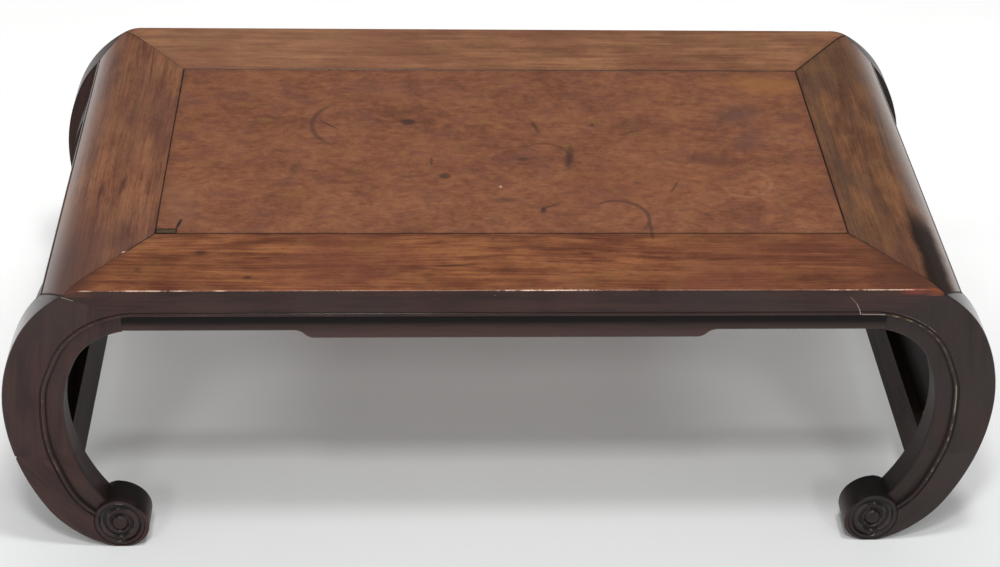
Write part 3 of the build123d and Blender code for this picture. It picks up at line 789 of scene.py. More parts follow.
def mottled_panel(b):
    """Burr wood with a fine mottle, old cup rings and ink spots."""
    place = b.millimetres()
    x, y, _ = b.parts(place)
    sway = b.noise(b.turned(place, (60.0, 50.0, 50.0)), 2.0, out=1)
    bent = b.swayed(place, sway, PANEL_SWAY)
    # the same, moved back to where it came from on average
    half_sway = (PANEL_SWAY / 2,) * 3
    wavy = b.add("ShaderNodeVectorMath", {"operation": "SUBTRACT"}, {0: bent, 1: half_sway})
    clouds = b.noise(b.turned(bent, (52.0, 44.0, 44.0)), 4.0, 0.62)
    figure = b.noise(b.turned(bent, (12.0, 8.5, 8.5), (5.0, 9.0, 2.0)), 4.0, 0.66)
    lines = b.noise(b.turned(bent, (60.0, 1.9, 1.9), (3.0, 8.0, 1.0)), 3.0, 0.6)
    curl = 1.0 - abs(b.noise(b.turned(bent, (21.0, 15.0, 15.0), (3.0, 8.0, 1.0)), 3.0) - 0.5) * 2.0
    pores = b.noise(b.turned(bent, (4.5, 0.7, 0.7)), 1.0).between(0.60, 0.72)
    tone = (clouds * 0.34 + figure * 0.44 + lines * 0.22).between(0.32, 0.68)
    colour = b.ramp(tone, shades(srgb(98, 59, 42), srgb(122, 76, 53), srgb(140, 91, 62)))
    purple = b.noise(b.turned(bent, (34.0, 24.0, 24.0), (90.0, 20.0, 0.0)), 4.0, 0.65)
    colour = b.mix(purple.between(0.5, 0.66) * 0.45, colour, srgb(104, 65, 56))
    olive = b.noise(b.turned(bent, (26.0, 20.0, 20.0), (10.0, 70.0, 0.0)), 4.0, 0.65)
    colour = b.mix(olive.between(0.54, 0.68) * 0.5, colour, srgb(126, 89, 52))
    colour = b.mix(curl.between(0.955, 0.995) * 0.13, colour, srgb(84, 46, 36))
    # broad patches
    for centre, radii, turn, amount, tint in (
        ((283.0, 118.0), (42.0, 16.0), -6.0, 0.6, srgb(150, 100, 56)),
        ((243.0, 60.0), (24.0, 15.0), 30.0, 0.5, srgb(88, 62, 56)),
        ((250.0, 12.0), (20.0, 12.0), 60.0, 0.5, srgb(84, 54, 54)),
        ((205.0, -24.0), (26.0, 8.0), -8.0, 0.55, srgb(76, 48, 42)),
        ((-226.0, -117.0), (14.0, 6.0), 0.0, 0.4, srgb(88, 56, 52)),
        ((-300.0, -100.0), (18.0, 32.0), 10.0, 0.3, srgb(128, 92, 70)),
        ((-80.0, 110.0), (60.0, 18.0), 0.0, 0.22, srgb(106, 68, 62)),
        ((150.0, -60.0), (70.0, 30.0), 12.0, 0.2, srgb(138, 84, 54)),
    ):
        colour = b.mix(stain(b, wavy, centre, radii, turn, 0.8) * amount, colour, tint)
    # cup rings, ink spots and dents
    for centre, radii, width, open_turn, until, amount in (
        ((-143.0, 40.5), (41.0, 43.0), 2.6, 0.0, -0.5, 0.5),
        ((43.6, -20.0), (25.5, 25.5), 1.6, 225.0, 0.0, 0.4),
        ((107.5, -124.5), (29.0, 29.0), 2.3, 225.0, -0.1, 0.6),
    ):
        ring = cup_ring(b, place, centre, radii, width, open_turn, until)
        colour = b.mix(ring * (0.5 + figure) * amount, colour, srgb(66, 46, 40))
    pale = cup_ring(b, place, (237.5, -66.0), (21.5, 24.5), 2.4, 130.0, 0.6)
    colour = b.mix(pale * figure * 0.5, colour, srgb(152, 112, 80))
    spots = (
        ((-88.4, 45.4), (7.6, 5.2), 0.0, 0.75),
        ((-53.2, -52.9), (5.6, 5.0), 10.0, 0.7),
        ((69.0, -19.6), (3.8, 20.0), -7.0, 0.55),
        ((38.1, -110.8), (2.6, 5.0), -10.0, 0.75),
        ((45.6, -104.4), (7.6, 1.5), 27.0, 0.6),
        ((1.7, -94.1), (12.0, 4.5), 4.0, 0.35),
        ((95.8, 40.8), (1.8, 2.6), 0.0, 0.55),
        ((-198.0, -41.0), (4.0, 8.0), 0.0, 0.35),
        ((-179.0, -44.0), (5.5, 2.0), -8.0, 0.45),
        ((-167.0, 39.6), (9.4, 0.9), -40.6, 0.85),
        ((-66.0, -27.0), (1.6, 7.0), 0.0, 0.5),
        ((-88.0, -54.0), (9.0, 2.0), 8.0, 0.4),
        ((38.4, 36.6), (2.0, 11.0), 16.0, 0.55),
        ((24.0, -23.0), (6.0, 3.0), 8.0, 0.55),
        ((133.0, 27.0), (7.0, 1.6), 22.0, 0.45),
        ((166.0, -72.0), (1.4, 11.0), -26.0, 0.45),
        ((131.0, -64.0), (4.0, 2.6), 0.0, 0.35),
        ((-132.0, -101.0), (3.0, 2.4), 0.0, 0.4),
        ((-299.6, -133.5), (1.5, 7.5), -12.0, 1.3),
        ((136.4, -141.0), (1.8, 9.0), -2.0, 0.5),
    )
    colour = spotted(b, colour, place, spots, srgb(52, 40, 36), 0.45)
    speck = stain(b, place, (-0.4, -71.4), (1.2, 1.6), 0.0, 0.5)
    colour = b.mix(speck * 0.5, colour, srgb(206, 190, 176))
    colour = b.mix(pores * 0.3, colour, PORE)
    fleck = b.noise(b.turned(place, (4.0, 2.6, 2.6), (31.0, 17.0, 5.0)), 1.0)
    colour = b.mix(fleck.between(0.72, 0.80) * 0.5, colour, srgb(60, 34, 28))
    line, halo = joint_lines(x, y)
    tight = (x < -300.0) * window(y, -105.0, 75.0, 20.0)
    side = (x.between(300.0, 318.0) * 0.3 + 0.6) * (1.0 - tight * 0.6)
    colour = b.mix(halo * 0.2, colour, srgb(76, 54, 44))
    colour = b.mix(line * side, colour, GRIME_AND_SHADE)
    height = figure * 0.5 + clouds * 1.2 - pores * 0.4
    return varnished(b, colour, 0.40 + clouds * 0.16, height, clouds * 0.4)


def let_in_patch(b):
    """A patch let in at the panel's corner, darker, with a dark edge."""
    place = b.millimetres()
    x, y, _ = b.parts(place)
    timber = Timber(b, place, (0.0, 0.0, 8.0), (90.0, 12.0, 4.0))
    colour = b.ramp(timber.tone, shades(srgb(58, 46, 36), srgb(78, 62, 46), srgb(92, 74, 54)))
    low, high = (Vector(corner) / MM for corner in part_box("panel_patch"))
    edge = (x - low.x).lower(high.x - x).lower((y - low.y).lower(high.y - y))
    colour = b.mix(1.0 - edge.between(0.2, 1.8), colour, GRIME_AND_SHADE)
    colour = seasoned(b, colour, timber, place)
    return varnished(b, colour, 0.45 + timber.mottle * 0.1, timber.height, timber.haze * 0.3)


def plain_wood(turn, start, tones, coat=0.25, roughness=0.42, corner=None, inside=None):
    """Dark or bare straight wood: painted shadow up to a corner above it and painted light lower
    down, another colour inside.
    """

    def paint(b):
        place = b.millimetres()
        timber = Timber(b, place, turn, start)
        colour = b.ramp(timber.tone, tones)
        colour = b.mix(timber.haze.between(0.42, 0.62) * 0.4, colour, tones[0][1])
        colour = seasoned(b, colour, timber, place, 0.6)
        sheen = timber.haze * (2.0 * coat)
        if inside:
            inner = outwards(b.facing()[0], b.parts(place)[0]) < -0.3
            colour = b.mix(inner * (0.4 + timber.mottle * 0.6), colour, inside)
        if corner:
            z = b.parts(place)[2]
            # paler lower down: painted light on the lower edge
            rubbed_and_highlit = 1.0 - z.between(corner - 26.0, corner - 15.0)
            colour = b.mix(rubbed_and_highlit * 0.4, colour, srgb(84, 60, 54))
            # the shadow of the corner above, painted near black
            dirt_and_shade = z.between(corner - 17.5, corner - 10.5)
            colour = b.mix(dirt_and_shade * 0.9, colour, srgb(10, 7, 7))
            sheen = sheen * (1.0 - dirt_and_shade)
        return varnished(b, colour, roughness + timber.mottle * 0.18, timber.height, sheen)

    return paint


APRON = shades(srgb(41, 26, 24), srgb(52, 33, 30), srgb(62, 40, 35))
BOARD = shades(srgb(34, 27, 25), srgb(48, 38, 34), srgb(62, 48, 42))
BARE = shades(srgb(106, 74, 50), srgb(136, 99, 68), srgb(158, 120, 84))

finishes = {
    "front_rail": finish(
        "front_rail_wood",
        long_rail((40.0, 11.0, 7.0), WORN, front_rail_marks, FRONT_SPELLS),
    ),
    "rear_rail": finish(
        "rear_rail_wood",
        long_rail((510.0, 83.0, 61.0), WORN_REAR, rear_rail_marks, [(-300.0, 240.0, 0.4)]),
    ),
    "left_end_rail": finish(
        "left_end_rail_wood",
        end_rail((12.0, 130.0, 17.0), WORN_LEFT, srgb(102, 65, 55), left_end_marks),
    ),
    "right_end_rail": finish(
        "right_end_rail_wood",
        end_rail((75.0, 340.0, 53.0), WORN_RIGHT, srgb(88, 64, 45), right_end_marks),
    ),
    "top_panel": finish("burr_panel", mottled_panel),
    "panel_patch": finish("let_in_patch", let_in_patch),
    "inner": finish("bare_inner_wood", plain_wood(ALONG_Y, (9.0, 61.0, 3.0), BARE, 0.0, 0.6)),
    "pegs": finish("peg_wood", plain_wood(UPRIGHT, (9.0, 61.0, 3.0), BARE, 0.0, 0.6)),
    "apron": finish(
        "apron_wood", plain_wood(ALONG_X, (260.0, 44.0, 90.0), APRON, corner=RAIL_BOTTOM)
    ),
    "end_apron": finish("end_apron_wood", plain_wood(ALONG_Y, (60.0, 144.0, 9.0), APRON)),
    "upright": finish(
        "end_stile_wood",
        plain_wood(UPRIGHT, (7.0, 23.0, 88.0), BOARD, inside=srgb(124, 114, 104)),
    ),
    # the end panels' inner faces near black: painted shade inside the ends
    "end_panel": finish(
        "end_panel_wood",
        plain_wood(ALONG_Y, (35.0, 5.0, 71.0), BOARD, inside=srgb(15, 13, 12)),
    ),
    "base": finish("base_rail_wood", plain_wood(ALONG_Y, (5.0, 210.0, 31.0), BOARD)),
}
# each side's grain in leg and foot, tones, and amount of dirt and painted shade in the grooves
LEG_SIDES = {"right": (98.0, 56.0, PATINA_RIGHT, 0.2), "left": (82.0, 124.0, PATINA, 0.4)}
LEG_MARKS = {"front_right": right_leg_marks, "front_left": left_leg_marks}
CUT_APART = 37.0  # how far apart the pieces of legs are cut from the timber, along X
for corner_y in ("front", "rear"):
    for corner_x, (leg_turn, foot_turn, tones, groove_dirt_and_shade) in LEG_SIDES.items():
        corner = f"{corner_y}_{corner_x}"
        cut = CUT_APART * len(finishes)
        for part, turn, start in (
            ("leg", leg_turn, (cut, 11.0, 5.0)),
            ("foot", foot_turn, (cut, 71.0, 13.0)),
        ):
            name = f"{corner}_{part}"
            paint = leg_wood(turn, start, tones, LEG_MARKS.get(corner, no_marks), groove_dirt_and_shade)
            finishes[name] = finish(name + "_wood", paint)


# ---- mesh making ------------------------------------------------------------------
CRISP_TURN = 32.0  # an edge that turns more than this many degrees stays crisp


def piece(name, points, faces):
    """A mesh object with its place in its vertices, from millimetres, facing outwards."""
    mesh = bpy.data.meshes.new(name)
    mesh.from_pydata([tuple(MM * c for c in p) for p in points], [], faces)
    shape = bmesh.new()
    shape.from_mesh(mesh)
    bmesh.ops.remove_doubles(shape, verts=shape.verts, dist=1e-7)
    bmesh.ops.recalc_face_normals(shape, faces=shape.faces)
    shape.to_mesh(mesh)
    shape.free()
    made = bpy.data.objects.new(name, mesh)
    bpy.context.scene.collection.objects.link(made)
    return made


def swept(name, rings):
    """A closed solid through rings of equally many points, capped at both ends."""
    count = len(rings[0])
    points = [p for ring in rings for p in ring]
    faces = [
        (
            row * count + k,
            row * count + (k + 1) % count,
            (row + 1) * count + (k + 1) % count,
            (row + 1) * count + k,
        )
        for row in range(len(rings) - 1)
        for k in range(count)
    ]
    last = (len(rings) - 1) * count
    faces += [tuple(range(count)), tuple(range(last, last + count))]
    return piece(name, points, faces)


def prism(name, plan, low, high, along_y=True):
    """A straight solid on a plan: in X and Z if it runs along Y, else in X and Y."""

    def put(a, b, c):
        return (a, c, b) if along_y else (a, b, c)

    return swept(name, [[put(a, b, c) for a, b in plan] for c in (low, high)])


def plain_mesh(shape):
    """Turn what an object's modifiers make into its own mesh."""
    bpy.context.view_layer.update()
    graph = bpy.context.evaluated_depsgraph_get()
    made = bpy.data.meshes.new_from_object(shape.evaluated_get(graph))
    shape.modifiers.clear()
    old, shape.data = shape.data, made
    made.name = shape.name
    bpy.data.meshes.remove(old)
    return shape


def carve(shape, *cutters, operation="DIFFERENCE"):
    """Cut other shapes out of one, or join or overlap them, and use them up."""
    for cutter in cutters:
        cut = shape.modifiers.new("cut", "BOOLEAN")
        cut.solver = "MANIFOLD"
        cut.operation = operation
        cut.object = cutter
        plain_mesh(shape)
        bpy.data.objects.remove(cutter)
    return shape


def copied(shape, name, mirror_x=False, mirror_y=False):
    """A copy at another corner, with its faces turned right again."""
    mesh = shape.data.copy()
    mesh.name = name
    flips = (-1.0 if mirror_x else 1.0, -1.0 if mirror_y else 1.0, 1.0, 1.0)
    mesh.transform(Matrix.Diagonal(flips))
    if mirror_x != mirror_y:
        mesh.flip_normals()
    made = bpy.data.objects.new(name, mesh)
    bpy.context.scene.collection.objects.link(made)
    return made


def smoothed(shape):
    """Smooth walls with crisp edges, and flat faces that stay flat."""
    shape.data.shade_smooth()
    shape.data.set_sharp_from_angle(angle=radians(CRISP_TURN))
    weighted = shape.modifiers.new("weighted", "WEIGHTED_NORMAL")
    weighted.keep_sharp = True
    return plain_mesh(shape)


# ---- the leg's section, from its outer side round to its back: inset and depth
ARRIS = [(0.0, 1.4), (0.12, 0.8), (0.45, 0.35), (1.0, 0.06), (1.7, 0.0)]
QUIRK = [(33.0, 0.0), (33.5, 0.25), (33.9, 1.1), (34.4, 1.35), (34.9, 1.1)]
BEAD_CREST, BEAD_WIDE, BEAD_HIGH = 36.8, 1.9, 1.75
bead_turns = [radians(t) for t in range(20, 180, 20)]
BEAD = [(BEAD_CREST - BEAD_WIDE * cos(t), BEAD_WIDE - BEAD_HIGH * sin(t)) for t in bead_turns]
FALL = [(38.9, 2.6), (39.1, 4.0), (39.7, 4.8), (40.6, 5.0)]
LEG_BACK_DEPTH, BACK_EASING = 31.0, 0.8


def leg_section(turn):
    """Inset and depth of each point of the section at a turn."""
    first, last = top_inset(turn), hollow_inset(turn)
    centre, radius = arc_at(turn)
    shift = band_change(on_arc(centre, radius - BEAD_CREST, turn)[1])
    start = [(first + s, d) for s, d in ARRIS]
    flat = [(first + (QUIRK[0][0] + shift - first) * k, 0.0) for k in (0.3, 0.6)]
    bead = [(s + shift, d) for s, d in QUIRK + BEAD + FALL]
    strip = [(last - 3.0, 5.0), (last - 1.5, 5.4), (last - 0.4, 6.5), (last, 8.0)]
    near_back = LEG_BACK_DEPTH - BACK_EASING
    back = [(last, near_back), (last - BACK_EASING, LEG_BACK_DEPTH)]
    back += [(first + BACK_EASING, LEG_BACK_DEPTH), (first, near_back)]
    return start + flat + bead + strip + back


def leg_ring(turn):
    """The leg's section in its place, on the ray at a turn."""
    centre, radius = arc_at(turn)
    c, s = cos(radians(turn)), sin(radians(turn))
    return [
        (centre[0] + (radius - inset) * c, -HALF_DEPTH + depth, centre[1] + (radius - inset) * s)
        for inset, depth in leg_section(turn)
    ]


SWEEP_END = -50.6  # the turn at which the sweep of the leg is inside the roll
turns = list(np.arange(90.0, SWEEP_END, -1.5)) + [SWEEP_END]
leg = swept("leg_blank", [leg_ring(t) for t in turns])

# the roll at the foot: heel, flat sole, inner side, top, and back to the leg
heel = [on_arc(*arc_at(t), t) for t in np.arange(-50.0, -88.0, -3.0)]
roll_outline = [(x, z) for x, z in heel if z > 0.1]
roll_outline += [(ROLL_X + 7.0, 0.0), (ROLL_X - 6.0, 0.0)]
for centre_x, radius, first, last in (
    (ROLL_X, ROLL_R, -106.0, -181.0),
    (ROLL_X + ROLL_TOP_SHIFT, ROLL_TOP_R, 174.0, 100.0),
):
    arc = np.arange(first, last, -5.0)
    roll_outline += [on_arc((centre_x, ROLL_Z), radius, t) for t in arc]
roll_outline += [on_ring(t) for t in np.arange(86.0, RING_START - 1.0, -5.0)]

roll_block = prism("roll_block", roll_outline, -HALF_DEPTH, -LEG_BACK)
rounding = roll_block.modifiers.new("rounding", "BEVEL")
rounding.width, rounding.segments, rounding.angle_limit = 1.0 * MM, 3, radians(50)
plain_mesh(roll_block)
carve(leg, roll_block, operation="UNION")


# ---- the scroll's carved face
def scroll_face(b, given):
    """A disc whose face is a ridge that winds in from its rim to a boss."""
    mesh_size = {"Size X": 1.0, "Size Y": 1.0, "Vertices X": 46, "Vertices Y": 97}
    grid = b.add("GeometryNodeMeshGrid", {}, mesh_size)
    grid_x, grid_y, _ = b.parts(b.add("GeometryNodeInputPosition"))
    across = grid_x + 0.5
    round_ = (grid_y + 0.5) * (2 * pi)
    front = (across / given["Front share"]).lower(1.0)
    far = ((across - given["Front share"] - 0.02) / (1.0 - given["Front share"] - 0.02)).clamped()
    behind = (across - given["Front share"]).between(0.001, 0.002)
    radius = given["Radius"] * front * (1.0 - far)
    turns_in = (radius.higher(0.0001) / given["Start radius"]).log(given["Shrink"])
    phase = turns_in - (round_ - given["Start turn"]) / (2 * pi)
    away = abs((phase + 0.5).fraction() - 0.5) * 2.0

    def past(size, low, high):
        return radius.between(given[size] * low, given[size] * high)

    ridge = 1.0 - away.between(given["Ridge"], 0.85)
    boss = 1.0 - past("Boss", 0.8, 1.0)
    boss_zone = 1.0 - past("Boss", 1.0, 1.25)
    rim = past("Radius", 0.81, 0.88)
    rim_zone = past("Radius", 0.73, 0.81)
    ridge = ridge * (1.0 - boss_zone) * (1.0 - rim_zone * 0.75)
    fall = past("Radius", 0.962, 1.01) * 0.5
    height = (ridge * 0.92).higher(rim).higher(boss) - fall
    depth = given["Depth"] * (1.0 - height) * (1.0 - behind) + behind * given["Thickness"]
    place = b.add(
        "ShaderNodeCombineXYZ",
        {},
        {
            "X": given["Centre X"] + radius * round_.cosine(),
            "Y": given["Face Y"] + depth,
            "Z": given["Centre Z"] + radius * round_.sine() * given["Stretch"],
        },
    )
    moved = b.add("GeometryNodeSetPosition", {}, {"Geometry": grid, "Position": place})
    return b.add("GeometryNodeMergeByDistance", {}, {"Geometry": moved, "Distance": 1e-6})


def grown(name, make, sizes, skin):
    """A mesh that a node tree makes from named sizes."""
    tree = bpy.data.node_groups.new(name, "GeometryNodeTree")
    b = Bench(tree)
    identifiers = {}
    for label, size in sizes.items():
        socket = tree.interface.new_socket(label, in_out="INPUT", socket_type="NodeSocketFloat")
        identifiers[label] = socket.identifier
    tree.interface.new_socket("Mesh", in_out="OUTPUT", socket_type="NodeSocketGeometry")
    source = tree.nodes.new("NodeGroupInput")
    result = make(b, {label: Value(b, source.outputs[label]) for label in sizes})
    whole = b.add("GeometryNodeRealizeInstances", {}, {"Geometry": result})
    whole = b.add("GeometryNodeSetMaterial", {}, {"Geometry": whole, "Material": skin})
    sink = tree.nodes.new("NodeGroupOutput")
    tree.links.new(whole.socket, sink.inputs["Mesh"])
    made = bpy.data.objects.new(name, bpy.data.meshes.new(name))
    bpy.context.scene.collection.objects.link(made)
    modifier = made.modifiers.new("grow", "NODES")
    modifier.node_group = tree
    for label, size in sizes.items():
        modifier[identifiers[label]] = float(size)
    plain_mesh(made)
    shape = bmesh.new()
    shape.from_mesh(made.data)
    bmesh.ops.remove_doubles(shape, verts=shape.verts, dist=1e-7)
    bmesh.ops.dissolve_degenerate(shape, edges=shape.edges, dist=1e-7)
    bmesh.ops.recalc_face_normals(shape, faces=shape.faces)
    shape.to_mesh(made.data)
    shape.free()
    return made


scroll = grown(
    "scroll_face",
    scroll_face,
    {
        "Radius": RING_R * MM,
        "Stretch": RING_TALL / RING_R,
        "Start radius": 21.0 * MM,
        "Start turn": radians(RING_START),
        "Shrink": 1.8,
        "Ridge": 0.18,
        "Boss": 7.6 * MM,
        "Depth": 2.8 * MM,
        "Thickness": 5.5 * MM,
        "Front share": 0.9,
        "Centre X": RING_X * MM,
        "Centre Z": RING_Z * MM,
        "Face Y": -HALF_DEPTH * MM,
    },
    finishes["front_right_foot"],
)
dish = prism(
    "dish",
    [on_ring(t, 0.02) for t in range(0, 360, 4)],
    -HALF_DEPTH - 1.0,
    -HALF_DEPTH + 4.0,
)
carve(leg, dish)
carve(leg, scroll, operation="UNION")

# the mitres at the leg's head
rail_seat = [
    (300.0, CUT_LOW),
    (LEG_END + GAP, CUT_LOW),
    (LEG_END + GAP, RAIL_BOTTOM - GAP),
    (MITRE_X, MITRE_Z - GAP),
    (MITRE_X, CUT_HIGH),
    (300.0, CUT_HIGH),
]
end_seat = [
    (MITRE_X - 0.3, -HALF_DEPTH + 0.4),
    (LIP_X + GAP, -LEG_BACK - GAP),
    (LIP_X + GAP, -195.0),
    (357.6, -195.0),
    (MITRE_X - 1.0, -HALF_DEPTH + 1.0),
]
carve(
    leg,
    prism("rail_seat", rail_seat, CUT_FRONT, CUT_BACK),
    prism("end_seat", end_seat, RAIL_BOTTOM - 0.02, CUT_HIGH, along_y=False),
)

# the scarf that joins leg and foot, from the hollow's side to the outer side
SCARF_OUT_TURN, SCARF_IN_TURN, SCARF_GAP = -11.0, -16.0, 0.1
scarf_out = np.array(on_arc(shin_c, shin_r, SCARF_OUT_TURN))
scarf_in = np.array(on_arc(shin_c, shin_r - LEG_WIDE, SCARF_IN_TURN))
scarf_run = (scarf_out - scarf_in) / np.linalg.norm(scarf_out - scarf_in)
scarf_up = np.array((-scarf_run[1], scarf_run[0]))


def beyond_scarf(side, name):
    """A block that fills all above the scarf (1) or all below it (-1)."""
    off = side * (SCARF_GAP / 2) * scarf_up
    start, stop = scarf_in - 300 * scarf_run + off, scarf_out + 300 * scarf_run + off
    far = side * 400 * scarf_up
    return prism(name, [start, stop, stop + far, start + far], CUT_FRONT, CUT_BACK)


foot = copied(leg, "front_right_foot")
carve(leg, beyond_scarf(-1, "below"))
carve(foot, beyond_scarf(1, "above"))
leg.name = "front_right_leg_wood"
foot.name = "front_right_foot_wood"


# ---- the front rail: a moulded face, swept from end to end
ARRIS_OF_RAIL = [(1.5, 0.0), (0.85, 0.12), (0.35, 0.42), (0.06, 0.95), (0.0, 1.6)]
PAST_MITRE = 393.5  # from this far out, the rail's section stays the same
DIP_END = 350.0  # and from this far out, the bead on it no longer dips


def end_height(reach):
    """How high the top of an end is, that far from the middle."""
    if reach <= eased_x:
        return TOP
    if reach <= eased_x + EASED_R * cos(radians(eased_turn)):
        return eased_z + (EASED_R**2 - (reach - eased_x) ** 2) ** 0.5
    return shoulder_c[1] + (SHOULDER_R**2 - (reach - shoulder_c[0]) ** 2) ** 0.5


def rail_ring(x):
    """The rail's section: its edge follows the leg's own bead where it nears the leg."""
    reach = min(abs(x), PAST_MITRE)
    top = end_height(reach)
    inner_r = SHOULDER_R - BAND
    past = max(0.0, min(reach, DIP_END) - shoulder_c[0])
    dip = inner_r - (inner_r**2 - past**2) ** 0.5
    base = shoulder_c[1] + SHOULDER_R - dip - band_change(RAIL_BOTTOM)
    ring = [(-HALF_DEPTH + d, top - s) for d, s in ARRIS_OF_RAIL] + [(-HALF_DEPTH, 295.0)]
    ring += [(-HALF_DEPTH + d, base - s) for s, d in QUIRK + BEAD]
    ring += [
        (-HALF_DEPTH + 3.4, base - BAND),
        (-HALF_DEPTH + 4.7, base - BAND + 0.5),
        (-HALF_DEPTH + 4.8, RAIL_BOTTOM),
        (-PANEL_Y - JOINT, RAIL_BOTTOM),
        (-PANEL_Y - JOINT, top - 0.4),
        (-PANEL_Y - JOINT - 0.4, top),
    ]
    return [(x, y, z) for y, z in ring]


ends = list(np.arange(330.0, 351.0, 3.0)) + list(np.arange(eased_x, 396.0, 2.0))
stops = [-x for x in reversed(ends)] + [0.0] + ends
rail = swept("front_rail_wood", [rail_ring(x) for x in stops])
rail_plan = [
    (-MITRE_X + GAP, CUT_FRONT),
    (-MITRE_X + GAP, -HALF_DEPTH),
    (-PANEL_X + GAP, -PANEL_Y),
    (-PANEL_X + GAP, -140.0),
]
rail_plan += [(-x, y) for x, y in reversed(rail_plan)]
carve(rail, prism("rail_plan", rail_plan, CUT_LOW, CUT_HIGH, along_y=False), operation="INTERSECT")
leg_wedge = [
    (LEG_END, CUT_LOW),
    (LEG_END, RAIL_BOTTOM),
    (MITRE_X, MITRE_Z),
    (400.0, MITRE_Z),
    (400.0, CUT_LOW),
]
for side in (-1, 1):
    wedge = [(side * x, z) for x, z in leg_wedge]
    carve(rail, prism("leg_wedge", wedge, CUT_FRONT, CUT_BACK))

# ---- the right end rail: rolled over, with a bead along its lip
# how far along the arc from the lip, and how deep
LIP_QUIRK = [(5.4, 0.0), (5.0, 0.25), (4.7, 1.0), (4.3, 1.2), (3.9, 0.9), (3.5, 0.4)]
LIP_BEAD = [(2.9, 0.1), (2.2, 0.0), (1.5, 0.15), (0.9, 0.5), (0.4, 1.0), (0.15, 1.7)]
lip_turn = degrees(asin((RAIL_BOTTOM - shoulder_c[1]) / SHOULDER_R))
bead_turn = lip_turn + degrees(5.6 / SHOULDER_R)
section = [(PANEL_X + JOINT, TOP - 0.4), (PANEL_X + JOINT + 0.4, TOP), (eased_x, TOP)]
section += [on_arc((eased_x, eased_z), EASED_R, t) for t in np.arange(87.0, eased_turn, -2.0)]
section += [on_arc(shoulder_c, SHOULDER_R, t) for t in np.arange(eased_turn, bead_turn, -1.0)]
for away, deep in LIP_QUIRK + LIP_BEAD:
    section.append(on_arc(shoulder_c, SHOULDER_R - deep, lip_turn + degrees(away / SHOULDER_R)))
section += [(LIP_X - 3.0, RAIL_BOTTOM), (PANEL_X + JOINT, RAIL_BOTTOM)]
end_rail = prism("right_end_rail_wood", section, -HALF_DEPTH, HALF_DEPTH)
end_plan = [
    (PANEL_X, -PANEL_Y - GAP),
    (MITRE_X + 0.2, -HALF_DEPTH + 0.6),
    (LIP_X, -LEG_BACK + GAP),
    (430.0, -LEG_BACK + GAP),
]
end_plan += [(x, -y) for x, y in reversed(end_plan)]
carve(end_rail, prism("end_plan", end_plan, 270.0, CUT_HIGH, along_y=False), operation="INTERSECT")

# ---- the same pieces at the other corners
for made in (leg, foot, rail, end_rail):
    smoothed(made)
made_pieces = {
    "front_rail": rail,
    "right_end_rail": end_rail,
    "front_right_leg": leg,
    "front_right_foot": foot,
    "rear_rail": copied(rail, "rear_rail_wood", mirror_y=True),
    "left_end_rail": copied(end_rail, "left_end_rail_wood", mirror_x=True),
}
for corner, flips in {
    "front_left": (True, False),
    "rear_right": (False, True),
    "rear_left": (True, True),
}.items():
    made_pieces[corner + "_leg"] = copied(leg, corner + "_leg_wood", *flips)
    made_pieces[corner + "_foot"] = copied(foot, corner + "_foot_wood", *flips)

# a chip at the scarf, where the front left foot meets the leg
outward = np.array((cos(radians(SCARF_OUT_TURN)), sin(radians(SCARF_OUT_TURN))))
chip = [
    scarf_out + 3.0 * outward,
    scarf_out - 2.2 * outward,
    scarf_out - 1.5 * outward - 6.0 * scarf_up,
    scarf_out + 3.0 * outward - 30.0 * scarf_up,
]
chip_block = prism("chip", [(-x, z) for x, z in chip], CUT_FRONT, CUT_BACK)
carve(made_pieces["front_left_foot"], chip_block)


# ---- camera -----------------------------------------------------------------------
pitch, yaw, tilt = radians(36.41), radians(3.617), 0.0358
ahead = Vector((sin(yaw) * cos(pitch), cos(yaw) * cos(pitch), -sin(pitch)))
level = Vector((cos(yaw), -sin(yaw), 0.0))
upright = level.cross(ahead)
across = cos(tilt) * level + sin(tilt) * upright
over = -sin(tilt) * level + cos(tilt) * upright
camera = bpy.data.objects.new("camera", bpy.data.cameras.new("camera"))
bpy.context.scene.collection.objects.link(camera)
camera.data.sensor_width = 36.0
camera.data.lens = 69.2
turned = Matrix((across, over, -ahead)).transposed()
camera.matrix_world = Matrix.Translation((-0.0944, -1.5993, 1.3233)) @ turned.to_4x4()
bpy.context.scene.camera = camera
bpy.context.scene.view_settings.view_transform = "Standard"


# ---- light, floor and backdrop ----------------------------------------------------
def seen_by_eye(b):
    """1 for rays from the eye, and for what it sees in gloss or through glass."""
    rays = b.add("ShaderNodeLightPath").socket.node.outputs
    straight, glossy, clear = (
        Value(b, rays[name]) for name in ("Is Camera Ray", "Is Glossy Ray", "Is Transmission Ray")
    )
    return straight.higher(glossy).higher(clear)


world = bpy.data.worlds.new("studio")
bpy.context.scene.world = world
world.use_nodes = True
world.node_tree.nodes.clear()
sky = Bench(world.node_tree)
AMBIENT = 0.5  # the light from all sides, where the eye sees the backdrop
upward = sky.parts(sky.add("ShaderNodeTexCoord", out="Generated"))[2]
backdrop = 1.0 - upward.between(-0.12, 0.12) * 0.82
strength = AMBIENT + seen_by_eye(sky) * (backdrop - AMBIENT)
light = sky.add("ShaderNodeBackground", {}, {"Color": (1.0, 1.0, 1.0), "Strength": strength})
sky.add("ShaderNodeOutputWorld", {}, {"Surface": light}, out=None)


def lamp(name, place, aim, size, power):
    """A square lamp, in metres and watts, turned towards a place."""
    light = bpy.data.lights.new(name, "AREA")
    light.shape = "SQUARE"
    light.size = size
    light.energy = power
    made = bpy.data.objects.new(name, light)
    bpy.context.scene.collection.objects.link(made)
    made.location = place
    made.rotation_mode = "QUATERNION"
    made.rotation_quaternion = (Vector(aim) - Vector(place)).to_track_quat("-Z", "Y")


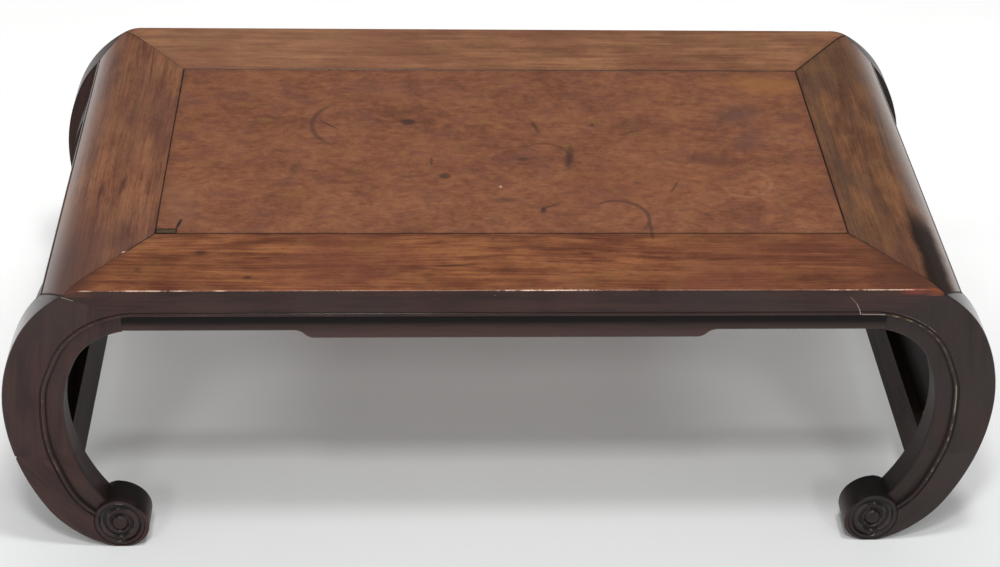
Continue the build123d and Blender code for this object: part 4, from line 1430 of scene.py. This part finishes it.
lamp("lamp_over_front", (0.25, -0.62, 2.5), (0.0, 0.0, 0.0), 0.3, 19.0)
lamp("lamp_before_front", (-0.2, -1.4, 2.5), (0.0, 0.0, 0.0), 0.3, 21.0)
lamp("lamp_left", (-1.3, -2.5, 2.2), (0.0, 0.0, 0.1), 0.5, 12.0)
lamp("lamp_right", (1.3, -2.5, 2.2), (0.0, 0.0, 0.1), 0.5, 12.0)

for name, made in made_pieces.items():
    made.data.materials.clear()
    made.data.materials.append(finishes[name])
    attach(made, "root")
    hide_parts(name)
# the finish of each node that is shown as it comes, by the first word found in its name
FINISH_OF = {
    "top_panel": "top_panel",
    "panel_patch": "panel_patch",
    "batten": "inner",
    "keys": "pegs",
    "pins": "pegs",
    "end_apron": "end_apron",
    "apron": "apron",
    "stile": "upright",
    "end_panel": "end_panel",
    "base_rail": "base",
}
for name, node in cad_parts.items():
    if name not in made_pieces:
        known = next(FINISH_OF[word] for word in FINISH_OF if word in name)
        node.data.materials.clear()
        node.data.materials.append(finishes[known])

floor_mesh = bpy.data.meshes.new("floor")
floor_mesh.from_pydata([(-3, -4, 0), (3, -4, 0), (3, 2.4, 0), (-3, 2.4, 0)], [], [(0, 1, 2, 3)])
floor = bpy.data.objects.new("floor", floor_mesh)
bpy.context.scene.collection.objects.link(floor)


def paper(b):
    """White paper, in better light behind the table, beside it and under its ends."""
    place = b.millimetres()
    x, y, _ = b.parts(place)
    far = y.between(-330.0, 260.0)
    clear = (y.between(150.0, 430.0) * 0.17).higher((-x).between(420.0, 600.0) * 0.17)
    clear = clear.higher(x.between(430.0, 620.0) * 0.1)
    under_end = abs(x).between(140.0, 310.0) * (1.0 - abs(x).between(380.0, 440.0))
    clear = clear.higher(under_end * y.between(-96.0, -52.0) * 0.12)
    glow = b.mix(seen_by_eye(b) * clear, (0.0, 0.0, 0.0), (1.0, 1.0, 1.0))
    cloud = b.noise(b.turned(place, (160.0, 160.0, 160.0)), 2.0)
    colour = b.ramp(far, shades((0.745, 0.76, 0.755), (0.97, 0.97, 0.965)))
    colour = b.mix(cloud.between(0.3, 0.7) * 0.06, colour, (0.66, 0.66, 0.66))
    return b.add(
        "ShaderNodeBsdfPrincipled",
        {},
        {
            "Base Color": colour,
            "Roughness": 0.85 + cloud * 0.1,
            "Specular IOR Level": 0.1,
            "Emission Color": glow,
            "Emission Strength": 1.0,
        },
    )


floor_mesh.materials.append(finish("floor_paper", paper))
